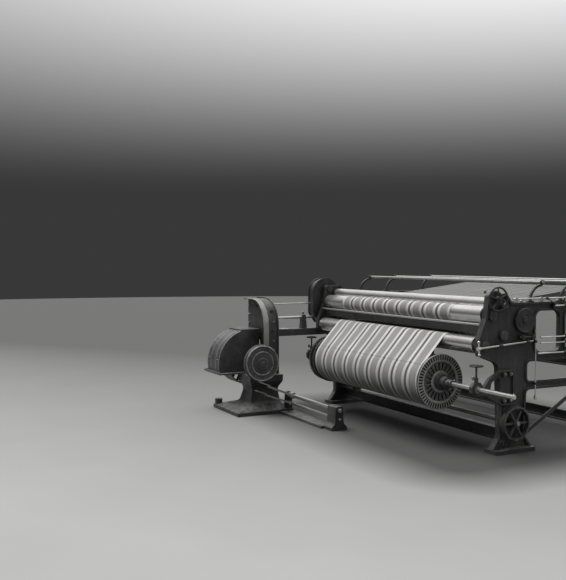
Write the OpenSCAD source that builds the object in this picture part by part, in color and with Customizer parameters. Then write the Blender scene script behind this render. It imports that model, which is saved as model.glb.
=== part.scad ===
// Winding headstock of a warp sizing machine, with a striped warp on its beam.
// X runs along the rollers, Y from the operator's side into the machine, Z up from the floor.
// Heights and Y places are measured from the floor and the beam axis; placed() moves
// the whole to the middle of its plan.

/* [Side frames] */
// Mid-line of the machine to the middle of each side frame
frame_x = 1400; // [1395:5:1460]
// Thickness of the cast web
web_t = 24; // [16:1:34]
// Depth of the rims round the web
rim_t = 60; // [52:1:70]
// Width of the rims
rim_w = 20; // [12:1:26]
// Top edge of the side frame
girder_top = 1320; // [1300:5:1340]
// Underside of the deep upper girder
girder_low = 790; // [760:5:820]
// Top of the stretcher between the legs
rail_top = 615; // [600:5:650]
// Depth of the stretcher
rail_h = 75; // [60:5:110]
// Front edge of the front leg
leg_front = 262; // [255:1:275]
// Width of the front leg
leg_w = 328; // [300:4:360]
// Front edge of the rear leg
rear_leg_front = 1500; // [1420:10:1560]
// Width of the rear leg
rear_leg_w = 240; // [200:10:280]
// Rear end of the side frames
frame_back = 1880; // [1850:10:2000]
// Height of the foot plates
foot_h = 36; // [25:1:60]
// Reach of a foot beyond its leg
foot_out = 60; // [50:5:80]
// Width of a foot plate across the machine
foot_w = 160; // [140:10:200]
// Radius of the holding-down bolt holes
foot_hole_r = 11; // [6:0.5:14]
// Windows in the girder
girder_windows = 3; // [2:1:4]

/* [Warp beam] */
// Height of the beam axis
beam_z = 590; // [575:5:605]
// Mid-line to the inside of each flange
beam_half = 940; // [860:10:960]
// Radius of the flanges
flange_r = 254; // [250:1:270]
// Thickness of the flange rim
flange_t = 26; // [18:1:34]
// Slots in the rim of a flange
slot_count = 52; // [36:4:60]
// Windows between the spokes of a flange
spoke_count = 22; // [12:2:26]
// Radius of the wooden barrel
barrel_r = 80; // [60:2:100]
// Radius of the wound warp
warp_r = 240; // [180:2:243]
// Radius of the beam shaft
beam_shaft_r = 22; // [18:1:24]
// Mid-line to the free right end of the beam shaft
shaft_right = 1910; // [1800:10:1950]
// Mid-line to the left end of the beam shaft
shaft_left = 1490; // [1480:5:1530]
// Thickness of the beam arms
arm_t = 36; // [28:2:44]
// Radius of the hand wheel on the cap screws
cap_wheel_r = 60; // [45:1:70]

/* [Rollers] */
// Radius of the front roller
front_r = 75; // [66:1:80]
// Mid-line to the end of the front roller
front_half = 1335; // [1300:5:1345]
// Y of the front roller
front_y = 110; // [104:1:116]
// Height of the front roller axis
front_z = 952; // [944:1:958]
// Radius of the drag roller
drag_r = 80; // [70:1:84]
// Mid-line to the end of the drag roller
drag_half = 1350; // [1320:5:1355]
// Y of the drag roller
drag_y = 195; // [190:1:200]
// Height of the drag roller axis
drag_z = 1210; // [1205:1:1214]
// Radius of the top roller
top_r = 58; // [52:1:60]
// Angle of the top roller above the level through the drag roller
nip_angle = 41.5; // [38:0.5:45]
// Radius of the rear roller
rear_r = 48; // [40:1:52]
// Y of the rear roller
rear_y = 318; // [310:1:326]
// Height of the rear roller axis
rear_z = 1036; // [1028:1:1044]
// Radius of the roller journals
journal_r = 20; // [16:1:22]
// Radius of the guide rod
guide_r = 10; // [7:0.5:12]
// Height of the guide rod
guide_z = 1134; // [1125:1:1140]

/* [Warp] */
// Thickness of the sheet of threads
sheet_t = 1.6; // [1:0.1:2.4]
// Height of the sheet where it enters at the back
sheet_back_z = 1428; // [1410:1:1430]
// Space between the sheet and what it runs on
sheet_gap = 0.5; // [0.4:0.05:0.8]
// Height of the lease rods above the side frames
lease_z = 175; // [160:1:190]
// Radius of the lease rods
lease_r = 13; // [9:0.5:15]
// Wires in the comb
comb_wires = 90; // [40:2:110]

/* [Hand wheel] */
// Module of the hand wheel gears
hand_m = 5; // [4.5:0.25:5.25]
// Teeth on the hand wheel gear
hand_teeth = 28; // [24:1:30]
// Teeth on the top roller gear
top_teeth = 16; // [14:1:18]
// Direction from the top roller to the hand wheel
hand_angle = 150; // [144:1:156]
// Radius of the spoked hand wheel
hand_wheel_r = 110; // [95:1:120]

/* [Beam gear] */
// Module of the beam gear and its pinion
beam_m = 8; // [7.9:0.05:8.2]
// Teeth on the beam gear
beam_teeth = 60; // [58:1:62]
// Teeth on the pinion
pinion_teeth = 16; // [15:1:18]
// Angle of the pinion below the level through the beam axis
pinion_drop = 10; // [6:1:14]

/* [Drive stand] */
// Y of the drive shaft
drive_y = -760; // [-780:5:-750]
// Height of the drive shaft
drive_z = 520; // [500:5:540]
// Radius of the driving pulleys
pulley_r = 250; // [200:5:280]
// Radius of the half-round pulley cover
cover_r = 385; // [340:5:390]
// Width of the pulley cover
cover_w = 340; // [320:5:350]
// Left end of the pulley cover
cover_left = -1870; // [-1890:5:-1860]
// Radius of the disc guard
guard_r = 205; // [170:5:220]
// Top of the gear case
case_top = 1250; // [1180:5:1270]
// Radius of the gear case's round shoulder
case_round = 300; // [200:10:330]
// Width of the strap round the gear case
strap_w = 64; // [40:2:80]
// Height of the side shaft
side_shaft_z = 1030; // [1000:5:1060]

/* [Hidden] */

// Fits
run_fit = 0.05;
bush_w = 10;
corner_steps = 5;

// Places worked out from the sizes above
leg_back = leg_front + leg_w;
rear_leg_back = rear_leg_front + rear_leg_w;
web_in = frame_x - web_t / 2;
web_out = frame_x + web_t / 2;
rim_in = frame_x - rim_t / 2;
rim_out = frame_x + rim_t / 2;
rail_low = rail_top - rail_h;
nip = sheet_t + 2 * sheet_gap;
top_y = drag_y + (drag_r + top_r + nip) * cos(nip_angle);
top_z = drag_z + (drag_r + top_r + nip) * sin(nip_angle);
hand_d = hand_m * (hand_teeth + top_teeth) / 2;
hand_y = top_y + hand_d * cos(hand_angle);
hand_z = top_z + hand_d * sin(hand_angle);
pinion_d = beam_m * (beam_teeth + pinion_teeth) / 2;
pinion_y = pinion_d * cos(pinion_drop);
pinion_z = beam_z - pinion_d * sin(pinion_drop);
journal_end = rim_out + 10;
short_journal = rim_out + 3;
bush_r = journal_r + bush_w;
tray_front = -1170;
tray_left = cover_left - 40;
cover_right = cover_left + cover_w;
mid_x = (shaft_right + tray_left) / 2;
mid_y = (frame_back + tray_front) / 2;

function dir(a) = [cos(a), sin(a)];
function unit(v) = v / norm(v);
function flat(p) = [p[0], p[1]];

// Half the angle between the two edges that meet at p
function half_angle(a, p, b) = acos(unit(a - p) * unit(b - p)) / 2;

// Points of the arc of radius r that rounds the corner p between a and b
function corner(a, p, b, r) =
  let (u = unit(a - p), v = unit(b - p), h = half_angle(a, p, b))
  let (c = p + unit(u + v) * r / sin(h), s = p + u * r / tan(h), e = p + v * r / tan(h))
  let (a0 = atan2(s.y - c.y, s.x - c.x), a1 = atan2(e.y - c.y, e.x - c.x))
  let (sweep = (a1 - a0 + 540) % 360 - 180)
  [for (k = [0:corner_steps]) c + r * dir(a0 + sweep * k / corner_steps)];

// Outline given as [x, y, corner radius], with its corners rounded
function rounded(pts) =
  let (n = len(pts))
  [for (i = [0:n - 1]) each corner(flat(pts[(i + n - 1) % n]), flat(pts[i]),
    flat(pts[(i + 1) % n]), pts[i][2])];

// The same outline moved inwards by d, or outwards where d is negative
function inset(pts, d) =
  let (n = len(pts))
  [for (i = [0:n - 1])
    let (a = flat(pts[(i + n - 1) % n]), p = flat(pts[i]), b = flat(pts[(i + 1) % n]))
    let (u = unit(a - p), v = unit(b - p), side = cross(v, u) > 0 ? 1 : -1)
    let (q = p + side * unit(u + v) * d / sin(half_angle(a, p, b)))
    [q.x, q.y, max(0.5, pts[i][2] - side * d)]];

function box_pts(x0, y0, x1, y1, r) = [[x0, y0, r], [x1, y0, r], [x1, y1, r], [x0, y1, r]];

// Polar angle of an involute at radius r, from where it leaves its base circle
function involute(base, r) =
  let (a = acos(min(1, base / r))) tan(a) * 180 / PI - a;

// Outline of a spur gear with 20 degree teeth, the first one centred on phase
function gear_pts(m, z, phase) =
  let (rp = m * z / 2, base = rp * cos(20), root = rp - 1.2 * m, tip = rp + 0.9 * m)
  let (at_pitch = 84 / z + involute(base, rp))
  [for (i = [0:z - 1]) each [
    for (s = [-1, 1]) each [
      for (k = [0:3])
        let (r = s < 0 ? root + (tip - root) * k / 3 : tip - (tip - root) * k / 3)
        r * dir(phase + 360 * i / z + s * (at_pitch - involute(base, r)))]]];

module placed() translate([-mid_x, -mid_y, 0]) children();
module in_yz(x0) translate([x0, 0, 0]) rotate([90, 0, 90]) children();
module in_xz(y1) translate([0, y1, 0]) rotate([90, 0, 0]) children();
module both_sides() {
  children();
  mirror([1, 0, 0]) children();
}
module plate(x0, t, pts) in_yz(x0) linear_extrude(t) polygon(rounded(pts));
module bar_x(x0, x1, y, z, r) translate([x0, y, z]) rotate([0, 90, 0]) cylinder(h = x1 - x0, r = r);
module bar_y(y0, y1, x, z, r) translate([x, y0, z]) rotate([-90, 0, 0]) cylinder(h = y1 - y0, r = r);
module bar_z(z0, z1, x, y, r) translate([x, y, z0]) cylinder(h = z1 - z0, r = r);
module block(lo, hi) translate(lo) cube(hi - lo);

// Solid turned about an axis along X, from a list of [x, radius]
module turned(y, z, steps) {
  translate([0, y, z]) rotate([0, 90, 0]) rotate_extrude()
    polygon([[0, steps[0][0]], for (s = steps) [s[1], s[0]], [0, steps[len(steps) - 1][0]]]);
}
// Solid turned about an upright axis, from a list of [z, radius]
module spun(x, y, steps) {
  translate([x, y, 0]) rotate_extrude()
    polygon([[0, steps[0][0]], for (s = steps) [s[1], s[0]], [0, steps[len(steps) - 1][0]]]);
}
module ring_x(x0, x1, y, z, r_out, r_in) difference() {
  bar_x(x0, x1, y, z, r_out);
  bar_x(x0 - 1, x1 + 1, y, z, r_in);
}
// Pocket between two radii, wide by twice the half angle a
module sector(r0, r1, a, h) linear_extrude(h)
  polygon([r0 * dir(-a), r1 * dir(-a), r1 * dir(a), r0 * dir(a)]);

// Side frames
horn_top = hand_z + 44;
horn_front = hand_y - 52;
horn_back = top_y + 54;
nose_low = front_z - 84;
nose_front = front_y - 62;
waist = 24;
waist_rise = 110;

frame_pts = [
  [leg_front - foot_out, 0, 2],
  [leg_back + foot_out, 0, 2],
  [leg_back + foot_out, foot_h, 12],
  [leg_back - waist, foot_h + waist_rise, 90],
  [leg_back, rail_low, 40],
  [rear_leg_front, rail_low, 40],
  [rear_leg_front + waist, foot_h + waist_rise, 90],
  [rear_leg_front - foot_out, foot_h, 12],
  [rear_leg_front - foot_out, 0, 2],
  [rear_leg_back + foot_out, 0, 2],
  [rear_leg_back + foot_out, foot_h, 12],
  [rear_leg_back - waist, foot_h + waist_rise, 90],
  [rear_leg_back, girder_low - 60, 60],
  [frame_back, girder_low + 40, 40],
  [frame_back, girder_top, 16],
  [horn_back + 60, girder_top, 40],
  [horn_back, horn_top, 34],
  [horn_front, horn_top, 34],
  [drag_y - 72, drag_z - 20, 60],
  [nose_front, front_z + 60, 50],
  [nose_front, nose_low, 34],
  [leg_front, girder_low, 70],
  [leg_front + waist, foot_h + waist_rise, 90],
  [leg_front - foot_out, foot_h, 12]];

window_from = leg_back + 110;
window_step = (frame_back - 90 - window_from) / girder_windows;
window_gap = 70;
frame_windows = [
  box_pts(leg_back + 12, rail_top, rear_leg_front + 40, girder_low, 36),
  for (i = [0:girder_windows - 1])
    box_pts(window_from + i * window_step, girder_low + 80,
      window_from + (i + 1) * window_step - window_gap, girder_top - 80, 60)];

// Y and height of each roller, and the bore its bush sits in
roller_axes = [[front_y, front_z], [drag_y, drag_z], [top_y, top_z], [rear_y, rear_z]];
low_y = leg_front + leg_w / 2;
low_z = 262;
hand_shaft_r = 14;
foot_spans = [[leg_front - foot_out, leg_back + foot_out],
  [rear_leg_front - foot_out, rear_leg_back + foot_out]];

module frame_casting() {
  difference() {
    union() {
      plate(web_in, web_t, frame_pts);
      difference() {
        plate(rim_in, rim_t, frame_pts);
        plate(rim_in - 1, rim_t + 2, inset(frame_pts, rim_w));
      }
      for (w = frame_windows) plate(rim_in + 6, rim_t - 12, inset(w, -rim_w));
      for (a = roller_axes) bar_x(rim_in, rim_out, a[0], a[1], bush_r + 18);
      bar_x(rim_in, rim_out, hand_y, hand_z, hand_shaft_r + 18);
      bar_x(rim_in, rim_out, low_y, low_z, bush_r + 18);
      for (s = foot_spans)
        block([frame_x - foot_w / 2, s[0], 0], [frame_x + foot_w / 2, s[1], foot_h]);
    }
    for (w = frame_windows) plate(rim_in - 1, rim_t + 2, w);
    for (a = roller_axes) bar_x(rim_in - 1, rim_out + 1, a[0], a[1], bush_r);
    bar_x(rim_in - 1, rim_out + 1, low_y, low_z, bush_r);
    for (s = foot_spans)
      for (dx = [-1, 1])
        for (y = [s[0] + foot_out / 2, s[1] - foot_out / 2])
          bar_z(-1, foot_h + 20, frame_x + dx * (foot_w / 2 - 24), y, foot_hole_r);
  }
}

module right_side_frame() {
  color("#3a3b3b") placed() difference() {
    frame_casting();
    bar_x(rim_in - 1, rim_out + 1, hand_y, hand_z, hand_shaft_r + run_fit);
  }
}

module left_side_frame() {
  color("#3a3b3b") placed() mirror([1, 0, 0]) difference() {
    union() {
      frame_casting();
      bar_x(rim_in, rim_out, pinion_y, pinion_z, bush_r + 10);
    }
    bar_x(rim_in - 1, rim_out + 1, pinion_y, pinion_z, journal_r + run_fit);
  }
}

// Cross rails of I section, with a bolted flange at each end
rail_depth = 110;
rail_width = 70;
rail_wall = 14;
flange_edge = 12;
module cross_rail(y, z) {
  difference() {
    union() {
      block([-web_in, y - rail_width / 2, z], [web_in, y + rail_width / 2, z + rail_depth]);
      both_sides() plate(web_in - rail_wall, rail_wall,
        box_pts(y - rail_width / 2 - flange_edge, z - flange_edge,
          y + rail_width / 2 + flange_edge, z + rail_depth + flange_edge, 8));
    }
    for (y0 = [y - rail_width / 2 - 20, y + rail_wall / 2])
      block([rail_wall - web_in, y0, z + rail_wall], [web_in - rail_wall,
        y0 + 20 + rail_width / 2 - rail_wall / 2, z + rail_depth - rail_wall]);
  }
}
low_rail_z = 80;
high_rail_z = 880;
front_high_y = 480;
rear_high_z = girder_low - 150;
rear_rail_y = rear_leg_front + rear_leg_w / 2;
module front_rails() color("#353636") placed() {
  cross_rail(low_y, low_rail_z);
  cross_rail(front_high_y, high_rail_z);
}
module rear_rails() color("#353636") placed() {
  cross_rail(rear_rail_y, low_rail_z);
  cross_rail(rear_rail_y, rear_high_z);
}

// Beam arms, bolted to the outer rims of the front legs, with caps and bushes
arm_head = 62;
beam_bush_r = beam_shaft_r + bush_w;
arm_pad = 150;
pad_low = beam_z - 160;
pad_top = beam_z + 145;
arm_pts = [
  [-arm_head, beam_z, 2],
  [-arm_head, beam_z - 40, 30],
  [-20, beam_z - arm_head, 30],
  [90, beam_z - arm_head, 60],
  [leg_front + 10, pad_low, 40],
  [leg_front + arm_pad, pad_low, 20],
  [leg_front + arm_pad, pad_top, 20],
  [leg_front, pad_top, 40],
  [130, beam_z + 80, 50],
  [arm_head + 4, beam_z, 3]];
arm_window = [
  [150, beam_z - 40, 24],
  [leg_front + 5, pad_low + 50, 24],
  [leg_front + 5, pad_top - 50, 24],
  [170, beam_z + 45, 24]];
arm_bolts = [for (y = [leg_front + 40, leg_front + arm_pad - 40])
  for (z = [pad_low + 40, pad_top - 35]) [y, z]];
bolt_r = 11;
module beam_arm() difference() {
  union() {
    plate(rim_out, arm_t / 2, arm_pts);
    for (p = arm_bolts) bar_x(rim_out, rim_out + arm_t, p.x, p.y, 2 * bolt_r);
    difference() {
      plate(rim_out, arm_t, arm_pts);
      plate(rim_out - 1, arm_t + 2, inset(arm_pts, 15));
    }
    intersection() {
      bar_x(rim_out, rim_out + arm_t, 0, beam_z, arm_head);
      plate(rim_out, arm_t, arm_pts);
    }
  }
  plate(rim_out - 1, arm_t + 2, arm_window);
  bar_x(rim_out - 1, rim_out + arm_t + 1, 0, beam_z, beam_bush_r);
}
module right_beam_arm() color("#303131") placed() beam_arm();
module left_beam_arm() color("#303131") placed() mirror([1, 0, 0]) beam_arm();

cap_h = 58;
boss_top = 100;
cap_x = rim_out + arm_t / 2;
cap_pts = [
  [-arm_head, beam_z, 1],
  [arm_head, beam_z, 1],
  [arm_head, beam_z + 22, 8],
  [34, beam_z + cap_h, 14],
  [-34, beam_z + cap_h, 14],
  [-arm_head, beam_z + 22, 8]];
screw_r = 9;
screw_low = beam_z + beam_bush_r + 4;
cap_wheel_z = beam_z + 200;
module beam_caps() color("#303131") placed() both_sides() difference() {
  union() {
    plate(rim_out, arm_t, cap_pts);
    bar_z(beam_z + cap_h - 8, beam_z + boss_top, cap_x, 0, screw_r + 9);
  }
  bar_x(rim_out - 1, rim_out + arm_t + 1, 0, beam_z, beam_bush_r);
  bar_z(screw_low - 1, beam_z + boss_top + 1, cap_x, 0, screw_r + run_fit);
}
module beam_bushes() color("#8a7a4a") placed() both_sides()
  ring_x(rim_out - 3, rim_out + arm_t + 3, 0, beam_z, beam_bush_r, beam_shaft_r + run_fit);

wheel_rim = 7;
module cap_screw() {
  spun(cap_x, 0, [[screw_low, screw_r], [cap_wheel_z - 12, screw_r], [cap_wheel_z - 12, 15],
    [cap_wheel_z + 8, 15], [cap_wheel_z + 14, 9]]);
  translate([cap_x, 0, cap_wheel_z]) {
    rotate_extrude($fn = 48) translate([cap_wheel_r - wheel_rim, 0]) circle(wheel_rim, $fn = 16);
    for (a = [0:90:270])
      rotate([0, 90, a + 45]) cylinder(h = cap_wheel_r - wheel_rim, r = 5, $fn = 16);
  }
}
module right_cap_screw() color("#8b8c8c") placed() cap_screw();
module left_cap_screw() color("#8b8c8c") placed() mirror([1, 0, 0]) cap_screw();

// The warp beam: shaft, barrel, slotted flanges, collars, gear and wound warp
shaft_end_r = beam_shaft_r - 1;
shaft_end_from = rim_out + arm_t + 10;
module beam_shaft() color("#a9aaa9") placed()
  turned(0, beam_z, [[-shaft_left, beam_shaft_r - 2], [2 - shaft_left, beam_shaft_r],
    [shaft_end_from, beam_shaft_r], [shaft_end_from, shaft_end_r],
    [shaft_right - 6, shaft_end_r], [shaft_right, shaft_end_r - 4]]);

module beam_barrel() color("#6d6255") placed()
  ring_x(-beam_half, beam_half, 0, beam_z, barrel_r, beam_shaft_r);

slot_in = 0.79 * flange_r;
slot_out = flange_r - 7;
spoke_in = 0.42 * flange_r;
spoke_out = 0.68 * flange_r;
slot_depth = 12;
module flange() difference() {
  turned(0, beam_z, [[beam_half, flange_r - 3], [beam_half + 3, flange_r],
    [beam_half + flange_t - 3, flange_r], [beam_half + flange_t, flange_r - 3],
    [beam_half + flange_t, spoke_out + 14], [beam_half + flange_t - 6, spoke_out + 6],
    [beam_half + flange_t - 6, spoke_in - 6], [beam_half + flange_t, spoke_in - 12]]);
  translate([beam_half, 0, beam_z]) rotate([90, 0, 90]) {
    for (i = [0:slot_count - 1])
      rotate(360 * i / slot_count) translate([0, 0, flange_t - slot_depth])
        sector(slot_in, slot_out, 100 / slot_count, slot_depth + 1);
    for (i = [0:spoke_count - 1])
      rotate(360 * i / spoke_count) translate([0, 0, -1])
        sector(spoke_in, spoke_out, 105 / spoke_count, flange_t + 2);
  }
  bar_x(beam_half - 1, beam_half + flange_t + 1, 0, beam_z, beam_shaft_r);
}
module right_flange() color("#4a4b4b") placed() flange();
module left_flange() color("#4a4b4b") placed() mirror([1, 0, 0]) flange();

collar_x = beam_half + flange_t;
gear_x = collar_x + 70;
beam_gear_w = 40;
collar_r = 76;
sleeve_r = 54;
tail_r = 36;
end_collar_w = 50;
end_collar_r = 48;
module beam_collars() color("#5b5c5b") placed() {
  difference() {
    turned(0, beam_z, [[collar_x, collar_r], [collar_x + 40, collar_r],
      [collar_x + 44, sleeve_r + 2], [collar_x + 100, sleeve_r], [collar_x + 104, tail_r + 2],
      [collar_x + 168, tail_r], [collar_x + 172, tail_r - 4]]);
    bar_x(collar_x - 1, collar_x + 180, 0, beam_z, beam_shaft_r);
  }
  ring_x(-gear_x, -collar_x, 0, beam_z, collar_r - 6, beam_shaft_r);
  ring_x(-gear_x - beam_gear_w - end_collar_w, -gear_x - beam_gear_w, 0, beam_z, end_collar_r,
    beam_shaft_r);
}

module gear_blank(m, z, phase, w, bore) difference() {
  linear_extrude(w) polygon(gear_pts(m, z, phase));
  translate([0, 0, -1]) cylinder(h = w + 2, r = bore);
}
beam_phase = -pinion_drop;
module beam_gear() color("#454646") placed()
  translate([-gear_x - beam_gear_w, 0, beam_z]) rotate([90, 0, 90]) difference() {
    gear_blank(beam_m, beam_teeth, beam_phase, beam_gear_w, beam_shaft_r);
    for (i = [0:5])
      rotate(60 * i) translate([0, 0, -1]) sector(95, beam_m * beam_teeth / 2 - 42, 22,
        beam_gear_w + 2);
  }
pinion_w = beam_gear_w + 10;
module beam_pinion() color("#5a5b5b") placed() {
  translate([-gear_x - beam_gear_w - 5, pinion_y, pinion_z]) rotate([90, 0, 90])
    gear_blank(beam_m, pinion_teeth, beam_phase + 180 + 180 / pinion_teeth, pinion_w,
      journal_r - 1);
  bar_x(-rim_out + 4, 25 - gear_x, pinion_y, pinion_z, journal_r);
}

// Post on the low front rail that carries the near end of the pinion shaft
post_x = gear_x + beam_gear_w + 40;
post_t = 36;
post_pts = [
  [low_y - 60, low_rail_z + rail_depth, 3],
  [low_y + 60, low_rail_z + rail_depth, 3],
  [low_y + 60, low_rail_z + rail_depth + 22, 8],
  [low_y + 20, 400, 60],
  [pinion_y + 46, pinion_z + 12, 30],
  [pinion_y, pinion_z + 46, 30],
  [pinion_y - 46, pinion_z, 30],
  [pinion_y - 30, pinion_z - 50, 40],
  [low_y - 30, 300, 60],
  [low_y - 60, low_rail_z + rail_depth + 22, 8]];
module pinion_post() color("#353636") placed() difference() {
  plate(-post_x - post_t, post_t, post_pts);
  bar_x(-post_x - post_t - 1, 1 - post_x, pinion_y, pinion_z, journal_r + run_fit);
  bar_x(-post_x - post_t - 1, 1 - post_x, low_y, low_z, journal_r + 6);
}

// Wound warp: nine slightly crowned bands between the dark end lines
bands = 9;
crown = 1.5;
warp_half = beam_half - 1;
module wound_warp() color("#b9b7b0") placed() difference() {
  turned(0, beam_z, [for (k = [0:bands - 1]) each [
    let (x0 = -warp_half + 2 * warp_half * k / bands, w = 2 * warp_half / bands)
    for (p = [[0.04, 0], [0.3, 1], [0.7, 1], [0.96, 0]])
      [k == 0 && p[0] == 0.04 ? x0 : k == bands - 1 && p[0] == 0.96 ? x0 + w : x0 + p[0] * w,
        warp_r - crown + crown * p[1]]]]);
  bar_x(-beam_half, beam_half, 0, beam_z, barrel_r);
}

// Rollers with their journals; left and right are where the journals end
module roller(y, z, r, half, left, right) turned(y, z, [[-left, journal_r - 2],
  [2 - left, journal_r], [-half, journal_r], [-half, r - 4], [4 - half, r], [half - 4, r],
  [half, r - 4], [half, journal_r], [right - 2, journal_r], [right, journal_r - 2]]);

top_gear_w = 24;
top_gear_x = rim_out + 8;
blind = 40;
module drag_roller() color("#d6d5cf") placed()
  roller(drag_y, drag_z, drag_r, drag_half, rim_out + blind, journal_end);
module front_roller() color("#d6d5cf") placed()
  roller(front_y, front_z, front_r, front_half, short_journal, short_journal);
module rear_roller() color("#b9b9b5") placed()
  roller(rear_y, rear_z, rear_r, front_half, short_journal, journal_end);
module top_roller() color("#d6d5cf") placed()
  roller(top_y, top_z, top_r, drag_half, short_journal, top_gear_x + top_gear_w + 6);

flange_gap = 6;
module roller_bush(y, z) {
  difference() {
    turned(y, z, [[rim_in - flange_gap, bush_r + 6], [rim_in, bush_r + 6], [rim_in, bush_r],
      [rim_out, bush_r]]);
    bar_x(rim_in - 10, rim_out + 1, y, z, journal_r + run_fit);
  }
}
module roller_bushes() color("#8a7a4a") placed() both_sides() {
  for (a = roller_axes) roller_bush(a[0], a[1]);
  roller_bush(low_y, low_z);
}

// Gears that let the hand wheel turn the top roller
top_phase = hand_angle;
module top_gear() color("#4c4d4d") placed() translate([top_gear_x, top_y, top_z])
  rotate([90, 0, 90]) gear_blank(hand_m, top_teeth, top_phase, top_gear_w, journal_r);
module hand_shaft() color("#6a6b6b") placed() {
  turned(hand_y, hand_z, [[rim_in - 12, hand_shaft_r + 7], [rim_in, hand_shaft_r + 7],
    [rim_in, hand_shaft_r], [wheel_x + 26, hand_shaft_r], [wheel_x + 32, hand_shaft_r - 4]]);
  translate([top_gear_x, hand_y, hand_z]) rotate([90, 0, 90])
    gear_blank(hand_m, hand_teeth, top_phase + 180 + 180 / hand_teeth, top_gear_w,
      hand_shaft_r - 1);
}
wheel_x = top_gear_x + top_gear_w + 22;
hand_rim = 9;
hand_spokes = 5;
module hand_wheel() color("#565757") placed() translate([wheel_x, hand_y, hand_z])
  rotate([90, 0, 90]) difference() {
    union() {
      rotate_extrude($fn = 64) translate([hand_wheel_r - hand_rim, 0]) circle(hand_rim, $fn = 20);
      translate([0, 0, -14]) cylinder(h = 34, r = 26);
      for (i = [0:hand_spokes - 1])
        rotate([0, 90, 360 * i / hand_spokes + 20]) cylinder(h = hand_wheel_r - hand_rim, r = 6.5);
    }
    translate([0, 0, -20]) cylinder(h = 50, r = hand_shaft_r);
  }

// Sheet of warp threads, drawn as one band along its run over the rollers.
// Each stop is [centre, running radius, turn], with turn 1 to the left and -1 to the right.
lay = sheet_gap + sheet_t / 2;
run_stops = [
  [[top_y, top_z], top_r + lay, -1],
  [[drag_y, drag_z], drag_r + lay, 1],
  [[rear_y, rear_z], rear_r + lay, -1],
  [[front_y, front_z], front_r + lay, 1],
  [[0, beam_z], warp_r + lay, 1]];
function stop_r(s, off) = s[1] - s[2] * off;
// Heading of the straight run between two stops
function heading(s, e, off) =
  let (d = e[0] - s[0], q = (stop_r(s, off) * s[2] - stop_r(e, off) * e[2]) / norm(d))
  atan2(d.y, d.x) + asin(max(-1, min(1, q)));
start_pt = [frame_back, sheet_back_z];
// Heading from the entry at the back to the first stop
function entry_heading(off) =
  let (s = run_stops[0], d = s[0] - start_pt)
  atan2(d.y, d.x) + asin(-stop_r(s, off) * s[2] / norm(d));
function in_heading(i, off) =
  i == 0 ? entry_heading(off) : heading(run_stops[i - 1], run_stops[i], off);
arc_step = 6;
function stop_arc(i, off) =
  let (s = run_stops[i], h0 = in_heading(i, off), h1 = heading(s, run_stops[i + 1], off))
  let (turn = s[2] * ((s[2] * (h1 - h0) % 360 + 360) % 360), n = ceil(abs(turn) / arc_step))
  [for (k = [0:n]) s[0] + stop_r(s, off) * dir(h0 + turn * k / n - 90 * s[2])];
function run_line(off) = concat(
  [start_pt + off * dir(entry_heading(off) + 90)],
  [for (i = [0:3]) each stop_arc(i, off)],
  [run_stops[4][0] + stop_r(run_stops[4], off) * dir(heading(run_stops[3], run_stops[4], off) - 90)]);
function turned_round(v) = [for (i = [len(v) - 1:-1:0]) v[i]];
module warp_sheet() color("#c9c7c0") placed() in_yz(-warp_half) linear_extrude(2 * warp_half)
  polygon(concat(run_line(sheet_t / 2), turned_round(run_line(-sheet_t / 2))));

// Board, rod and comb between the rollers
board_y = front_y + 40;
module breast_board() color("#2c2d2d") placed()
  block([-web_in, board_y, guide_z - 84], [web_in, board_y + 22, guide_z - 14]);
module guide_rod() color("#c4c4c0") placed()
  bar_x(-rim_in, rim_in, front_y - 8, guide_z, guide_r);

comb_y = 450;
comb_half = beam_half + 10;
comb_bar = 24;
function sheet_low(y) =
  let (h = entry_heading(0), s = start_pt + sheet_t * dir(h + 90)) s.y + (y - s.x) * tan(h);
comb_top = sheet_low(comb_y) - 1.5;
comb_wire_h = 40;
comb_low = comb_top - comb_wire_h;
module comb_rail() color("#353636") placed() difference() {
  block([-web_in, comb_y - 30, comb_low - comb_bar - 30], [web_in, comb_y + 30, comb_low - 4]);
  block([-web_in + 30, comb_y - comb_bar / 2 - 0.3, comb_low - comb_bar - 0.3],
    [web_in - 30, comb_y + comb_bar / 2 + 0.3, comb_low]);
}
module comb() color("#8f9190") placed() {
  block([-comb_half, comb_y - comb_bar / 2, comb_low - comb_bar],
    [comb_half, comb_y + comb_bar / 2, comb_low]);
  for (i = [0:comb_wires - 1])
    translate([-warp_half + 2 * warp_half * (i + 0.5) / comb_wires - 1, comb_y - 5, comb_low])
      cube([2, 10, comb_wire_h]);
}

// Lease rods on swan-neck brackets along the top of the side frames
lease_ys = [790, 1160, 1700];
lease_top = girder_top + lease_z;
neck_t = 16;
neck_w = 22;
neck_base = 10;
neck_r = lease_z - lease_r - neck_w / 2 - neck_base;
eye_r = lease_r + 9;
function neck_pts(y) = let (c = [y, girder_top + neck_base]) concat(
  [[y - neck_r - neck_w / 2, girder_top], [y - neck_r + neck_w / 2, girder_top]],
  [for (a = [180:-10:90]) c + (neck_r - neck_w / 2) * dir(a)],
  [for (a = [90:10:180]) c + (neck_r + neck_w / 2) * dir(a)]);
module rod_brackets() color("#3a3b3b") placed() both_sides() for (y = lease_ys) difference() {
  union() {
    in_yz(frame_x - neck_t / 2) linear_extrude(neck_t) polygon(neck_pts(y));
    bar_x(frame_x - neck_t / 2, frame_x + neck_t / 2, y, lease_top, eye_r);
    plate(frame_x - 14, 28, box_pts(y - neck_r - 34, girder_top, y - neck_r + 34,
      girder_top + 12, 4));
  }
  bar_x(frame_x - 60, frame_x + 60, y, lease_top, lease_r);
}
module lease_rods() color("#b7b7b2") placed() for (y = lease_ys)
  bar_x(-frame_x - 20, frame_x + 20, y, lease_top, lease_r);

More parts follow.
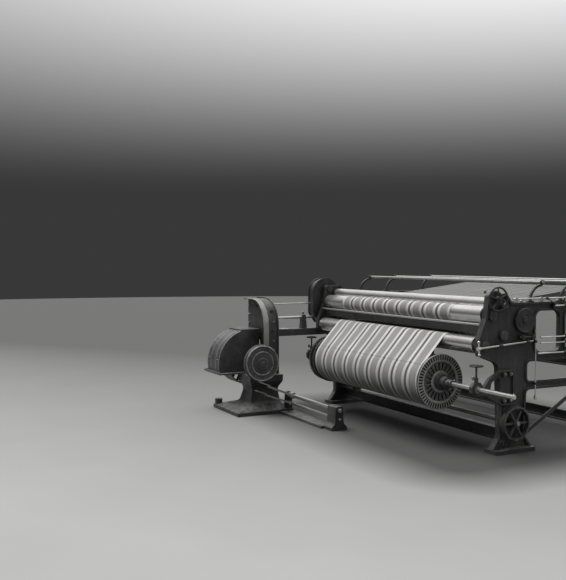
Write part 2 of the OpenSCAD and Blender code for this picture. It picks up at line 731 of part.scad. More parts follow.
// Bright rail along the top of the right frame, on three low stools
rail_z = girder_top + 32;
top_rail_r = 8;
rail_from = horn_back + 70;
rail_to = 1100;
module top_rail() color("#b0b1ad") placed() {
  bar_y(rail_from, rail_to, rim_out - 8, rail_z, top_rail_r);
  for (y = [rail_from + 40, (rail_from + rail_to) / 2, rail_to - 40])
    difference() {
      plate(rim_out - 16, 16, [[y - 16, girder_top, 2], [y + 16, girder_top, 2],
        [y + 12, rail_z + 12, 9], [y - 12, rail_z + 12, 9]]);
      bar_y(y - 20, y + 20, rim_out - 8, rail_z, top_rail_r);
    }
}

// Flat braces from the feet of the front legs up to the stretchers
brace_w = 34;
brace_t = 10;
brace_low = [leg_back - 20, 158];
brace_high = [1330, rail_low + rail_h / 2];
brace_angle = atan2(brace_high.y - brace_low.y, brace_high.x - brace_low.x);
brace_len = norm(brace_high - brace_low);
module diagonal_braces() color("#3c3d3d") placed() both_sides()
  in_yz(rim_out) translate(brace_low) rotate(brace_angle) linear_extrude(brace_t)
    polygon(rounded(box_pts(-brace_w / 2, -brace_w / 2, brace_len + brace_w / 2, brace_w / 2, 15)));

disc_r = 112;
disc_y = window_from - rim_w - disc_r - 8;
disc_z = 1160;
module disc_cover() color("#4b4c4c") placed() turned(disc_y, disc_z, [[web_out, disc_r],
  [web_out + 26, disc_r], [web_out + 34, disc_r - 8], [web_out + 30, disc_r - 16], [web_out + 30, 34],
  [web_out + 44, 30], [web_out + 44, 12], [web_out + 52, 10]]);

// Right-hand control rod with its balanced handle, stop rod and their brackets
rod_r = 9;
rod_x = rim_out + 26;
rod_tilt = 4;
rod_from = [20, front_z - 16];
rod_len = 612;
rod_eyes = [242, 552];
module along_rod() translate([rod_x, rod_from.x, rod_from.y]) rotate([rod_tilt - 90, 0, 0])
  children();
handle_arm = 56;
module control_rod() color("#b4b5b1") placed() along_rod() {
  cylinder(h = rod_len, r = rod_r);
  translate([0, 0, -14]) cylinder(h = 30, r = 17);
  for (s = [-1, 1]) {
    rotate([s * 90, 0, 0]) cylinder(h = handle_arm, r = 7);
    translate([0, s * -handle_arm, 0]) sphere(13, $fn = 20);
  }
}
stop_y = 668;
stop_r_mm = 5;
stop_eyes = [585, 960];
short_y = 500;
short_z = 1014;
module side_brackets() color("#4a4b4b") placed() {
  for (e = rod_eyes) difference() {
    along_rod() translate([0, 0, e - 15]) {
      cylinder(h = 30, r = rod_r + 9);
      translate([-(rod_x - web_out), -8, 0]) cube([rod_x - web_out, 16, 30]);
    }
    along_rod() translate([0, 0, e - 16]) cylinder(h = 32, r = rod_r + run_fit);
  }
  for (z = stop_eyes) difference() {
    union() {
      bar_z(z, z + 22, rod_x, stop_y, stop_r_mm + 8);
      block([z > rail_top ? web_out : rim_out - 6, stop_y - 7, z], [rod_x, stop_y + 7, z + 22]);
    }
    bar_z(z - 1, z + 23, rod_x, stop_y, stop_r_mm + run_fit);
  }
  for (y = [short_y, short_y + 110]) difference() {
    block([web_out, y, short_z - 18], [rod_x + 20, y + 26, short_z + 18]);
    bar_y(y - 1, y + 27, rod_x, short_z, 12);
  }
  bar_y(short_y - 24, short_y + 160, rod_x, short_z, 12);
}
stop_low = 452;
stop_top = 1074;
module stop_rod() color("#b4b5b1") placed() spun(rod_x, stop_y, [[stop_low, 6],
  [stop_low + 4, 12], [stop_low + 26, 14], [stop_low + 40, 9], [stop_low + 44, stop_r_mm],
  [stop_top - 12, stop_r_mm], [stop_top - 12, 9], [stop_top - 2, 9], [stop_top, 6]]);

// Low cross shaft and its spoked wheel
low_wheel_r = 150;
low_wheel_x = rim_out + 16;
low_wheel_w = 46;
module low_shaft() color("#8f908f") placed() turned(low_y, low_z, [[-journal_end, journal_r - 2],
  [2 - journal_end, journal_r], [low_wheel_x + low_wheel_w + 14, journal_r],
  [low_wheel_x + low_wheel_w + 18, journal_r - 3]]);
module low_wheel() color("#403f3d") placed() translate([low_wheel_x, low_y, low_z])
  rotate([90, 0, 90]) difference() {
    union() {
      difference() {
        cylinder(h = low_wheel_w, r = low_wheel_r);
        translate([0, 0, -1]) cylinder(h = low_wheel_w + 2, r = low_wheel_r - 16);
      }
      translate([0, 0, 16]) linear_extrude(14) for (i = [0:5]) rotate(60 * i)
        polygon([[20, -12], [low_wheel_r - 10, -8], [low_wheel_r - 10, 8], [20, 12]]);
      translate([0, 0, 2]) cylinder(h = low_wheel_w - 2, r = 36);
    }
    translate([0, 0, -1]) cylinder(h = low_wheel_w + 2, r = journal_r);
  }

// Worm case on the left frame, with a round hood over the roller ends
case_x = rim_out + 6;
worm_w = 124;
hood_r = 165;
hood_y = drag_y - 10;
side_x = case_x + 40;
side_r = 16;
worm_low = side_shaft_z - 62;
worm_pts = concat(
  [[hood_y - 84, worm_low], [hood_y + 84, worm_low], [hood_y + hood_r, worm_low + 110]],
  [for (a = [0:10:180]) [hood_y, drag_z + 100] + hood_r * dir(a)],
  [[hood_y - hood_r, worm_low + 110]]);
module worm_case() color("#393a3a") placed() mirror([1, 0, 0]) difference() {
  union() {
    in_yz(case_x) linear_extrude(worm_w) polygon(worm_pts);
    for (x = [case_x, case_x + worm_w - 12]) in_yz(x) linear_extrude(12) polygon(
      [for (p = worm_pts) [hood_y, drag_z] + (p - [hood_y, drag_z]) * 1.045]);
    block([rim_out, hood_y - 50, worm_low], [case_x, rear_y - bush_r, worm_low + 210]);
    bar_x(case_x + worm_w, case_x + worm_w + 10, drag_y, drag_z, 52);
  }
  bar_x(rim_out - 1, rim_out + blind + 1, drag_y, drag_z, journal_r + run_fit);
  bar_x(rim_out - 1, case_x + 1, top_y, top_z, journal_r + 4);
  bar_y(hood_y - 200, hood_y, side_x, side_shaft_z, side_r + run_fit);
}

// Drive stand: base and waisted column, cast as one
base_x0 = -1800;
base_x1 = -1100;
base_y0 = -1100;
base_y1 = -420;
col_x0 = -1560;
col_x1 = -1210;
col_y0 = -900;
col_y1 = -500;
col_top = 415;
tray_t = 15;
base_t = 40;
front_profile = [
  [base_x0, 0, 2], [base_x1, 0, 2], [base_x1, base_t, 10], [col_x1 - 30, base_t + 70, 60],
  [col_x1 - 60, 260, 90], [col_x1, 340, 40], [col_x1, col_top, 2], [col_x0, col_top, 2],
  [col_x0, 340, 40], [col_x0 + 60, 260, 90], [col_x0 + 20, base_t + 70, 60],
  [base_x0, base_t, 10]];
side_profile = [
  [base_y0, 0, 2], [base_y1, 0, 2], [base_y1, base_t, 10], [col_y1 - 20, base_t + 60, 60],
  [col_y1 - 40, 260, 90], [col_y1, 350, 40], [col_y1, col_top, 2], [col_y0, col_top, 2],
  [col_y0, 350, 40], [col_y0 + 50, 260, 90], [col_y0 + 10, base_t + 60, 60],
  [base_y0, base_t, 10]];
start_y = -470;
start_z = 200;
start_r = 20;
tie_z = 110;
tie_r = 13;
module drive_base() color("#333434") placed() difference() {
  union() {
    intersection() {
      in_xz(base_y1) linear_extrude(base_y1 - base_y0) polygon(rounded(front_profile));
      in_yz(base_x0) linear_extrude(base_x1 - base_x0) polygon(rounded(side_profile));
    }
    bar_z(0, 105, base_x0 + 46, base_y0 + 46, 42);
    plate(base_x1 - 56, 40, [[start_y - 44, base_t - 10, 2], [start_y + 44, base_t - 10, 2],
      [start_y + 34, start_z + 34, 30], [start_y - 34, start_z + 34, 30]]);
  }
  bar_z(-1, 106, base_x0 + 46, base_y0 + 46, foot_hole_r);
  bar_x(base_x1 - 60, base_x1, start_y, start_z, start_r + run_fit);
  bar_x(base_x1 - 60, base_x1, start_y, tie_z, tie_r + run_fit);
}

tray_right = -1440;
tray_top = col_top + tray_t;
cover_back = -640;
lip_t = 6;
lip_h = 11;
module pulley_tray() color("#4d4e4e") placed() difference() {
  union() {
    block([tray_left, tray_front, col_top], [tray_right, cover_back, tray_top]);
    block([tray_left, tray_front, tray_top], [tray_right, tray_front + lip_t, tray_top + lip_h]);
    block([tray_left, tray_front, tray_top], [tray_left + lip_t, cover_back, tray_top + lip_h]);
  }
  block([cover_left + 4, drive_y - pulley_r - 40, col_top - 1],
    [col_x0 - 4, cover_back + 1, tray_top + 1]);
}

cover_t = 5;
module pulley_cover() color("#454646") placed() difference() {
  union() {
    difference() {
      bar_x(cover_left, cover_right, drive_y, drive_z, cover_r);
      bar_x(cover_left + cover_t, cover_right - cover_t, drive_y, drive_z, cover_r - cover_t);
    }
    for (x = [cover_left, cover_right - 16]) difference() {
      bar_x(x, x + 16, drive_y, drive_z, cover_r);
      bar_x(x - 1, x + 17, drive_y, drive_z, cover_r - 14);
    }
    block([cover_left, drive_y - 110, drive_z + cover_r - 18],
      [cover_right, cover_back, drive_z + cover_r + 4]);
  }
  bar_x(cover_left + cover_t, cover_right - cover_t, drive_y, drive_z, cover_r - cover_t);
  block([cover_left - 1, -2000, -1000], [cover_right + 1, 0, tray_top]);
  block([cover_left - 1, cover_back, -1], [cover_right + 1, 0, 2000]);
  bar_x(cover_left - 1, cover_right + 1, drive_y, drive_z, 40);
}

drive_r = 22;
pulley_w = 140;
pulley_rim = 12;
pulley_arms = 6;
pulley_hub_r = 42;
pulley_gap = 4;
arm_w = 16;
pulley_x = cover_left + 16;
module drive_shaft() color("#9a9b9a") placed() turned(drive_y, drive_z,
  [[cover_left - 14, drive_r - 3], [cover_left - 11, drive_r], [col_x1 + 30, drive_r]]);
module pulley(x) translate([x, drive_y, drive_z]) rotate([90, 0, 90]) difference() {
  union() {
    difference() {
      cylinder(h = pulley_w, r = pulley_r);
      translate([0, 0, -1]) cylinder(h = pulley_w + 2, r = pulley_r - pulley_rim);
    }
    translate([0, 0, (pulley_w - arm_w) / 2]) linear_extrude(arm_w)
      for (i = [0:pulley_arms - 1]) rotate(360 * i / pulley_arms)
        polygon([[20, -18], [pulley_r - 8, -11], [pulley_r - 8, 11], [20, 18]]);
    translate([0, 0, 4]) cylinder(h = pulley_w - 8, r = pulley_hub_r);
  }
  translate([0, 0, -1]) cylinder(h = pulley_w + 2, r = drive_r);
}
module drive_pulleys() color("#565757") placed() {
  pulley(pulley_x);
  pulley(pulley_x + pulley_w + pulley_gap);
}

bearing_w = 70;
tray_bearing_x = -1520;
col_bearing_x = -1340;
module drive_bearing(x, seat) difference() {
  plate(x, bearing_w, [
    [drive_y - 80, seat, 2],
    [drive_y + 80, seat, 2],
    [drive_y + 80, tray_top + 20, 10], [drive_y + 44, drive_z + 14, 40],
    [drive_y + 20, drive_z + 50, 16], [drive_y - 20, drive_z + 50, 16],
    [drive_y - 44, drive_z + 14, 40], [drive_y - 80, tray_top + 20, 10]]);
  bar_x(x - 1, x + bearing_w + 1, drive_y, drive_z, drive_r + run_fit);
}
module drive_bearings() color("#3d3e3e") placed() {
  drive_bearing(tray_bearing_x, tray_top);
  drive_bearing(col_bearing_x, col_top);
}

guard_y = drive_y - 20;
guard_z = drive_z + 40;
guard_t = 78;
module disc_guard() color("#3b3c3c") placed() difference() {
  turned(guard_y, guard_z, [[col_x1, guard_r - 14], [col_x1 + 6, guard_r], [col_x1 + 24, guard_r],
    [col_x1 + 24, guard_r - 8], [col_x1 + guard_t - 18, guard_r - 8],
    [col_x1 + guard_t - 10, guard_r - 20], [col_x1 + guard_t - 16, guard_r - 34],
    [col_x1 + guard_t - 16, 62], [col_x1 + guard_t, 54], [col_x1 + guard_t, 24],
    [col_x1 + guard_t + 12, 20]]);
  bar_x(col_x1 - 1, col_x1 + 31, drive_y, drive_z, drive_r + run_fit);
}

case_x0 = -1880;
case_x1 = -1320;
case_y0 = -620;
case_y1 = -500;
case_step = 800;
case_pts = [
  [col_x0 + 10, col_top, 3], [case_x1, col_top, 3], [case_x1, case_top, case_round],
  [case_x0, case_top, 30], [case_x0, case_step, 30], [col_x0 + 10, case_step, 60]];
module gear_case() color("#2f3030") placed() difference() {
  union() {
    in_xz(case_y1) linear_extrude(case_y1 - case_y0) polygon(rounded(case_pts));
    difference() {
      in_xz(case_y1) linear_extrude(14) polygon(rounded(inset(case_pts, -12)));
      block([case_x0, case_y0 - 1, 0], [case_x1 + 20, case_y1 + 1, col_top]);
    }
  }
  bar_y(case_y1 - blind, case_y1 + 1, -side_x, side_shaft_z, side_r + run_fit);
}
strap_t = 7;
strap_low = 620;
strap_y1 = case_y0;
module case_strap() color("#a7a8a5") placed() difference() {
  in_xz(strap_y1) linear_extrude(strap_w) polygon(rounded(case_pts));
  in_xz(strap_y1 + 1) linear_extrude(strap_w + 2) polygon(rounded(inset(case_pts, strap_t)));
  block([case_x0 - 1, case_y0 - strap_w - 1, 0], [case_x1 + 1, case_y0 + 1, strap_low]);
  block([case_x0 - 1, case_y0 - strap_w - 1, 0],
    [case_x0 + 200, case_y0 + 1, case_top - strap_t - 8]);
  block([case_x0 - 1, case_y0 - strap_w - 1, 0], [case_x1 - 60, case_y0 + 1, case_step + 100]);
}

// Bridge between the gear case and the left side frame
bridge_x0 = -case_x - 108;
bridge_z = 822;
bridge_h = 78;
bridge_to = 420;
bridge_t = 14;
bridge_lip_to = 40;
stand_y = -100;
module bridge() color("#515252") placed() difference() {
  union() {
    block([bridge_x0, case_y1, bridge_z], [-rim_out, bridge_to, bridge_z + bridge_h]);
    block([bridge_x0 - bridge_t, case_y1, bridge_z + bridge_h - bridge_t],
      [-rim_out, bridge_lip_to, bridge_z + bridge_h]);
    plate(-side_x - 24, 48, [[stand_y - 40, bridge_z + bridge_h - 4, 2],
      [stand_y + 40, bridge_z + bridge_h - 4, 2], [stand_y + 26, side_shaft_z + 30, 22],
      [stand_y - 26, side_shaft_z + 30, 22]]);
  }
  block([bridge_x0 + bridge_t, case_y1 + 16, bridge_z - 1],
    [-rim_out - bridge_t, bridge_to - 16, bridge_z + bridge_h - bridge_t]);
  bar_y(stand_y - 60, stand_y + 60, -side_x, side_shaft_z, side_r + run_fit);
}
module side_shaft() color("#a9aaa7") placed()
  bar_y(case_y1 - blind + 2, hood_y - 60, -side_x, side_shaft_z, side_r);

stay_r = 8;
stay_x = case_x + 80;
stay_z = 1190;
module stay_rods() color("#9fa09d") placed()
  bar_y(case_y1, hood_y - hood_r, -stay_x, stay_z, stay_r);

// Foot block, starting shaft and releasing shaft with their pedals, and the rail under them
foot_x0 = -190;
foot_x1 = -30;
foot_top = 238;
module foot_block() color("#343535") placed() difference() {
  plate(foot_x0, foot_x1 - foot_x0, [[start_y - 90, 0, 2], [start_y + 90, 0, 2],
    [start_y + 90, 30, 8], [start_y + 50, 70, 40], [start_y + 42, foot_top, 20],
    [start_y - 42, foot_top, 20], [start_y - 50, 70, 40], [start_y - 90, 30, 8]]);
  bar_x(foot_x0 - 1, foot_x1 + 1, start_y, start_z, start_r + run_fit);
  bar_x(foot_x0 - 1, foot_x1 + 1, start_y, tie_z, tie_r + run_fit);
}
rail_front = start_y - 125;
rail_back = start_y + 60;
rail_rise = 26;
module floor_rail() color("#2f3030") placed() plate(base_x1, foot_x0 - base_x1, [
  [rail_front, 0, 2], [rail_back, 0, 2], [rail_back - 8, rail_rise, 6],
  [rail_front + 8, rail_rise, 6]]);
pedal_x = base_x1 + 65;
pedal_reach = 330;
pedal_rise = 22;
pad_w = 80;
pad_len = 110;
module foot_pedal() color("#a5a6a2") placed() {
  turned(start_y, start_z, [[base_x1 - 80, start_r], [base_x1 - 14, start_r],
    [base_x1 - 14, start_r + 8], [base_x1 - 4, start_r + 8], [base_x1 - 4, start_r],
    [foot_x1 + 20, start_r], [foot_x1 + 24, start_r - 4]]);
  difference() {
    union() {
      bar_x(pedal_x - 26, pedal_x + 26, start_y, start_z, start_r + 14);
      translate([pedal_x, start_y, start_z]) rotate([-pedal_rise, 0, 0]) {
        block([-9, -pedal_reach, -11], [9, -start_r, 11]);
        block([-pad_w / 2, 10 - pad_len - pedal_reach, 7], [pad_w / 2, 10 - pedal_reach, 19]);
      }
    }
    bar_x(pedal_x - 60, pedal_x + 60, start_y, start_z, start_r);
  }
}
release_x = base_x1 + 10;
release_rise = 20;
module release_pedal() color("#a5a6a2") placed() {
  turned(start_y, tie_z, [[base_x1 - 76, tie_r], [foot_x1 + 14, tie_r], [foot_x1 + 18, tie_r - 3]]);
  difference() {
    union() {
      bar_x(release_x - 16, release_x + 18, start_y, tie_z, tie_r + 11);
      translate([release_x, start_y, tie_z]) rotate([-release_rise, 0, 0]) {
        block([-9, -pedal_reach, -10], [9, -tie_r, 10]);
        block([9 - pad_w, 10 - pad_len - pedal_reach, 6], [9, 10 - pedal_reach, 18]);
      }
    }
    bar_x(release_x - 60, release_x + 60, start_y, tie_z, tie_r);
  }
}

// Bolts that hold the castings together
module bolt_x(x, y, z, r) turned(y, z, [[x, 1.5 * r], [x + 0.8 * r, 1.5 * r],
  [x + 1.1 * r, 1.2 * r]]);
module fasteners() color("#777876") placed() {
  both_sides() {
    for (p = arm_bolts) bolt_x(rim_out + arm_t, p.x, p.y, bolt_r);
    for (p = [brace_low, brace_high]) bolt_x(rim_out + brace_t, p.x, p.y, bolt_r);
    for (s = foot_spans)
      for (y = [s[0] + 60 + 40, s[1] - 60 - 40])
        bolt_x(web_out, y, foot_h + 70, bolt_r);
  }
  for (a = [15:25:75])
    translate([case_x1 - case_round + (case_round - 34) * cos(a), case_y0,
      case_top - case_round + (case_round - 34) * sin(a)])
      rotate([90, 0, 0]) cylinder(h = 10, r = 12);
  for (z = [strap_low + 40:100:strap_low + 240])
    translate([case_x1 - 34, case_y0, z]) rotate([90, 0, 0]) cylinder(h = 10, r = 12);
}

right_side_frame();
left_side_frame();
front_rails();
rear_rails();
right_beam_arm();
left_beam_arm();
beam_caps();
beam_bushes();
roller_bushes();
breast_board();
guide_rod();
comb_rail();
rod_brackets();
lease_rods();
top_rail();
diagonal_braces();
disc_cover();
worm_case();
pinion_post();
drive_base();
drive_bearings();
pulley_tray();
pulley_cover();
disc_guard();
gear_case();
case_strap();
bridge();
stay_rods();
foot_block();
side_brackets();
fasteners();
warp_sheet();
beam_shaft();
beam_barrel();
right_flange();
left_flange();
beam_collars();
beam_gear();
wound_warp();
drag_roller();
top_roller();
top_gear();
front_roller();
rear_roller();
hand_shaft();
hand_wheel();
right_cap_screw();
left_cap_screw();
control_rod();
stop_rod();
comb();
low_shaft();
low_wheel();
beam_pinion();
drive_shaft();
drive_pulleys();
side_shaft();
foot_pedal();
release_pedal();
floor_rail();
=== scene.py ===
"""Finish of a warp sizing machine headstock: its threads, surfaces, fittings, stage and camera."""
import math
import random

import bpy
from mathutils import Matrix, Vector


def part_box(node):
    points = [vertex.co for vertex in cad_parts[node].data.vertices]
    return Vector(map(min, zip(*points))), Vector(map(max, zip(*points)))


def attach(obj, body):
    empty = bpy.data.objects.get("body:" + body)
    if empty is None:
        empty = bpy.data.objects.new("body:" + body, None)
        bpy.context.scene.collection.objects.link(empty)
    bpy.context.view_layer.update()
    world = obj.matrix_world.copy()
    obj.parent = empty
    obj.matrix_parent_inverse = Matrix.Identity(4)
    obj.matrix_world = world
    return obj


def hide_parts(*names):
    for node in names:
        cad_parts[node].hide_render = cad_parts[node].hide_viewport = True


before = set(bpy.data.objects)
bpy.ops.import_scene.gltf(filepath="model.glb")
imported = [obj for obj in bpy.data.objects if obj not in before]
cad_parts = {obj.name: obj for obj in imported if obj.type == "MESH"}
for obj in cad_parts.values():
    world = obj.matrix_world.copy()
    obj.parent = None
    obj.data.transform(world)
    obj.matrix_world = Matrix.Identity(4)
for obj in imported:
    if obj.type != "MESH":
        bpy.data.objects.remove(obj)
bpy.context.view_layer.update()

bl_info = {
    "name": "Headstock Finish",
    "version": (1, 0, 0),
    "blender": (4, 5, 0),
    "location": "View3D > Sidebar > Headstock",
    "description": "Dresses a warp sizing machine headstock with threads, surfaces and fittings",
    "category": "Object",
}

# Places are measured as on a drawing: X from the mid-line, Y from the beam axis, Z from the floor.
beam_low, beam_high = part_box("beam_shaft")
BEAM_Y = (beam_low.y + beam_high.y) / 2
BEAM_Z = (beam_low.z + beam_high.z) / 2
arm_low, arm_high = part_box("right_beam_arm")
RIM_OUT = arm_low.x
ARM_OUT = arm_high.x
warp_low, warp_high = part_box("wound_warp")
WARP_HALF = warp_high.x
WARP_R = (warp_high.z - warp_low.z) / 2
FLANGE_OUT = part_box("right_flange")[1].x


def spot(x, y, z):
    """A point given from the mid-line, the beam axis and the floor, in metres."""
    return Vector((x, BEAM_Y + y, z))


def roller_facts(node):
    """Y from the beam axis, height and radius of a roller, from its box."""
    low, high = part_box(node)
    return (low.y + high.y) / 2 - BEAM_Y, (low.z + high.z) / 2, (high.z - low.z) / 2


def middle_of(node, x):
    """The middle of a piece's box, at a given X."""
    low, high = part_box(node)
    return Vector((x, (low.y + high.y) / 2, (low.z + high.z) / 2))


# Sizes and colours


class WarpSettings(bpy.types.PropertyGroup):
    """Stripes and threads of the warp."""

    stripe_pitch: bpy.props.FloatProperty(
        name="Stripe pitch", description="From one dark stripe to the next",
        default=0.213, min=0.05, unit="LENGTH")
    dark_width: bpy.props.FloatProperty(
        name="Dark width", description="Width of a dark stripe", default=0.034, unit="LENGTH")
    pale_width: bpy.props.FloatProperty(
        name="Pale width", description="Width of each pale stripe beside a dark one",
        default=0.037, unit="LENGTH")
    ridge_pitch: bpy.props.FloatProperty(
        name="Ridge pitch", description="From one bundle of threads to the next",
        default=0.0078, min=0.003, unit="LENGTH")
    ridge_depth: bpy.props.FloatProperty(
        name="Ridge depth", description="How far a bundle of threads stands up",
        default=0.0011, unit="LENGTH")
    thickness: bpy.props.FloatProperty(
        name="Sheet thickness", description="Thickness of the sheet of threads",
        default=0.0011, unit="LENGTH")
    dark_colour: bpy.props.FloatVectorProperty(
        name="Dark threads", description="Colour of the dark stripes", subtype="COLOR",
        default=(0.055, 0.054, 0.053))
    pale_colour: bpy.props.FloatVectorProperty(
        name="Pale threads", description="Colour of the pale stripes", subtype="COLOR",
        default=(0.95, 0.94, 0.91))
    ground_colour: bpy.props.FloatVectorProperty(
        name="Ground threads", description="Colour of the wide grey bands", subtype="COLOR",
        default=(0.36, 0.355, 0.345))


class SurfaceSettings(bpy.types.PropertyGroup):
    """Colours of the machine's surfaces."""

    iron: bpy.props.FloatVectorProperty(
        name="Cast iron", description="Colour of the oily castings", subtype="COLOR",
        default=(0.055, 0.055, 0.0545))
    paint: bpy.props.FloatVectorProperty(
        name="Machine paint", description="Colour of the painted cases", subtype="COLOR",
        default=(0.044, 0.0443, 0.0447))
    dust: bpy.props.FloatVectorProperty(
        name="Dust", description="Colour of lint and dust on the ledges", subtype="COLOR",
        default=(0.24, 0.236, 0.225))
    dust_cover: bpy.props.FloatProperty(
        name="Dust cover", description="How much of a ledge the dust hides",
        default=0.62, min=0, max=1, subtype="FACTOR")
    steel: bpy.props.FloatVectorProperty(
        name="Steel", description="Colour of the bright turned steel", subtype="COLOR",
        default=(0.66, 0.66, 0.645))
    roller: bpy.props.FloatVectorProperty(
        name="Roller covering", description="Colour of the pale rollers", subtype="COLOR",
        default=(0.68, 0.675, 0.66))


class StageSettings(bpy.types.PropertyGroup):
    """Camera, light and floor."""

    camera_place: bpy.props.FloatVectorProperty(
        name="Camera place", description="Where the camera stands", subtype="TRANSLATION",
        unit="LENGTH", default=(6.76, -4.915, 1.687))
    camera_turn: bpy.props.FloatProperty(
        name="Camera turn", description="Angle of the view from the roller axes",
        default=math.radians(27), subtype="ANGLE")
    camera_dip: bpy.props.FloatProperty(
        name="Camera dip", description="Angle of the view below the horizon",
        default=math.radians(2.08), subtype="ANGLE")
    lens: bpy.props.FloatProperty(
        name="Lens", description="Focal length for a picture 36 mm high", default=49.66,
        subtype="DISTANCE_CAMERA")
    floor_colour: bpy.props.FloatVectorProperty(
        name="Floor", description="Colour of the floor", subtype="COLOR",
        default=(0.4, 0.4, 0.396))
    floor_bounce: bpy.props.FloatVectorProperty(
        name="Floor bounce", description="Colour in which the floor lights what stands on it",
        subtype="COLOR", default=(0.03, 0.03, 0.03))
    backdrop: bpy.props.FloatProperty(
        name="Backdrop", description="Brightness of the hall at the horizon", default=0.04, min=0)
    roof_windows: bpy.props.FloatProperty(
        name="Roof windows", description="Brightness of the hall's roof", default=1.7, min=0)
    roof_light: bpy.props.FloatProperty(
        name="Roof light", description="Strength of the light from the roof", default=2.7, min=0)
    light_spread: bpy.props.FloatProperty(
        name="Light spread", description="Width of the roof light, as an angle",
        default=math.radians(40), subtype="ANGLE")
    roof_way: bpy.props.FloatVectorProperty(
        name="Roof light way", description="Direction in which the roof light falls",
        subtype="DIRECTION", default=(0.3, 0.3, -0.9))


# Modelling helpers


def deselect():
    """Leaves edit mode and deselects every object."""
    if bpy.context.object and bpy.context.object.mode != "OBJECT":
        bpy.ops.object.mode_set(mode="OBJECT")
    bpy.ops.object.select_all(action="DESELECT")


def pick(piece):
    """Makes one object the only selected one."""
    deselect()
    piece.select_set(True)
    bpy.context.view_layer.objects.active = piece


def select_by(kind):
    """Deselects a mesh whole, so that code can select its faces or edges one by one."""
    bpy.ops.object.mode_set(mode="EDIT")
    bpy.ops.mesh.select_mode(type=kind)
    bpy.ops.mesh.select_all(action="DESELECT")
    bpy.ops.object.mode_set(mode="OBJECT")


def newest(name):
    """Names the object that an operator has just added."""
    piece = bpy.context.object
    piece.name = name
    piece.data.name = name
    return piece


def turned(name, steps, sides=24):
    """A piece turned about Z, from (height, radius) steps, closed at both ends."""
    deselect()
    height, radius = steps[0]
    bpy.ops.mesh.primitive_circle_add(
        vertices=sides, radius=radius, fill_type="NGON", location=(0, 0, height))
    piece = newest(name)
    bpy.ops.object.transform_apply(location=True, rotation=True, scale=True)
    bpy.ops.object.mode_set(mode="EDIT")
    bpy.ops.mesh.select_all(action="SELECT")
    for next_height, next_radius in steps[1:]:
        rise = (0, 0, next_height - height)
        bpy.ops.mesh.extrude_region_move(TRANSFORM_OT_translate={"value": rise})
        if next_radius != radius:
            grow = next_radius / radius
            bpy.ops.transform.resize(value=(grow, grow, 1))
        height, radius = next_height, next_radius
    bpy.ops.mesh.select_all(action="SELECT")
    bpy.ops.mesh.normals_make_consistent(inside=False)
    bpy.ops.object.mode_set(mode="OBJECT")
    return piece


def rounded_block(name, low, high, edge=0.002, segments=2):
    """A block between two corners, with its edges rounded."""
    deselect()
    low, high = Vector(low), Vector(high)
    bpy.ops.mesh.primitive_cube_add(size=1, location=(low + high) / 2, scale=high - low)
    piece = newest(name)
    bpy.ops.object.transform_apply(location=True, rotation=True, scale=True)
    bpy.ops.object.mode_set(mode="EDIT")
    bpy.ops.mesh.select_all(action="SELECT")
    bpy.ops.mesh.bevel(offset=edge, segments=segments, affect="EDGES")
    bpy.ops.object.mode_set(mode="OBJECT")
    return piece


def lay_on(piece, at, axis=(0, 0, 1), spin=0.0):
    """Moves a piece modelled about Z to a place, along an axis, in its mesh."""
    turn = Vector(axis).to_track_quat("Z", "Y").to_matrix().to_4x4()
    piece.data.transform(Matrix.Translation(at) @ turn @ Matrix.Rotation(spin, 4, "Z"))
    return piece


def copy_of(piece):
    """A copy with its own mesh."""
    twin = piece.copy()
    twin.data = piece.data.copy()
    bpy.context.scene.collection.objects.link(twin)
    return twin


def joined(name, parts):
    """One object from several."""
    deselect()
    for part in parts:
        part.select_set(True)
    bpy.context.view_layer.objects.active = parts[0]
    if len(parts) > 1:
        bpy.ops.object.join()
    return newest(name)


def spread(name, pattern, places):
    """Copies a pattern to each (place, axis, spin), as one object, and drops the pattern."""
    copies = [lay_on(copy_of(pattern), *place) for place in places]
    bpy.data.objects.remove(pattern)
    return joined(name, copies)


def settle(piece, body, slot_name, finish, angle=35):
    """Shades a finished piece, gives it its finish and lets it ride on a body."""
    pick(piece)
    bpy.ops.object.transform_apply(location=True, rotation=True, scale=True)
    bpy.ops.object.shade_smooth_by_angle(angle=math.radians(angle))
    piece.data.materials.clear()
    piece.data.materials.append(FINISHES[finish])
    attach(piece, body)
    return piece


def fasten(name, pattern, places, body="frame"):
    """Sets one kind of bolt, screw or nut at all its places."""
    return settle(spread(name, pattern, places), body, "worn_iron", "bolt_steel", 30)


# Materials


class Nodes:
    """Short ways to lay the nodes of one tree."""

    def __init__(self, tree):
        self.tree = tree
        self.coordinates = self.add("ShaderNodeTexCoord")

    def add(self, kind, values=None, **settings):
        """A node, with its settings and its inputs' values or sources."""
        node = self.tree.nodes.new(kind)
        for key, value in settings.items():
            setattr(node, key, value)
        for key, value in (values or {}).items():
            self.feed(node.inputs[key], value)
        return node

    def feed(self, socket, value):
        """Links a source to an input, or sets its value."""
        if isinstance(value, bpy.types.NodeSocket):
            self.tree.links.new(value, socket)
        else:
            socket.default_value = value

    def sums(self, operation, first, second=0.0):
        """One sum of two numbers."""
        return self.add("ShaderNodeMath", {0: first, 1: second}, operation=operation).outputs[0]

    def ranged(self, source, reach, result, kind="LINEAR"):
        """A number brought from one range into another."""
        values = {"Value": source, "From Min": reach[0], "From Max": reach[1],
                  "To Min": result[0], "To Max": result[1]}
        return self.add("ShaderNodeMapRange", values, interpolation_type=kind).outputs[0]


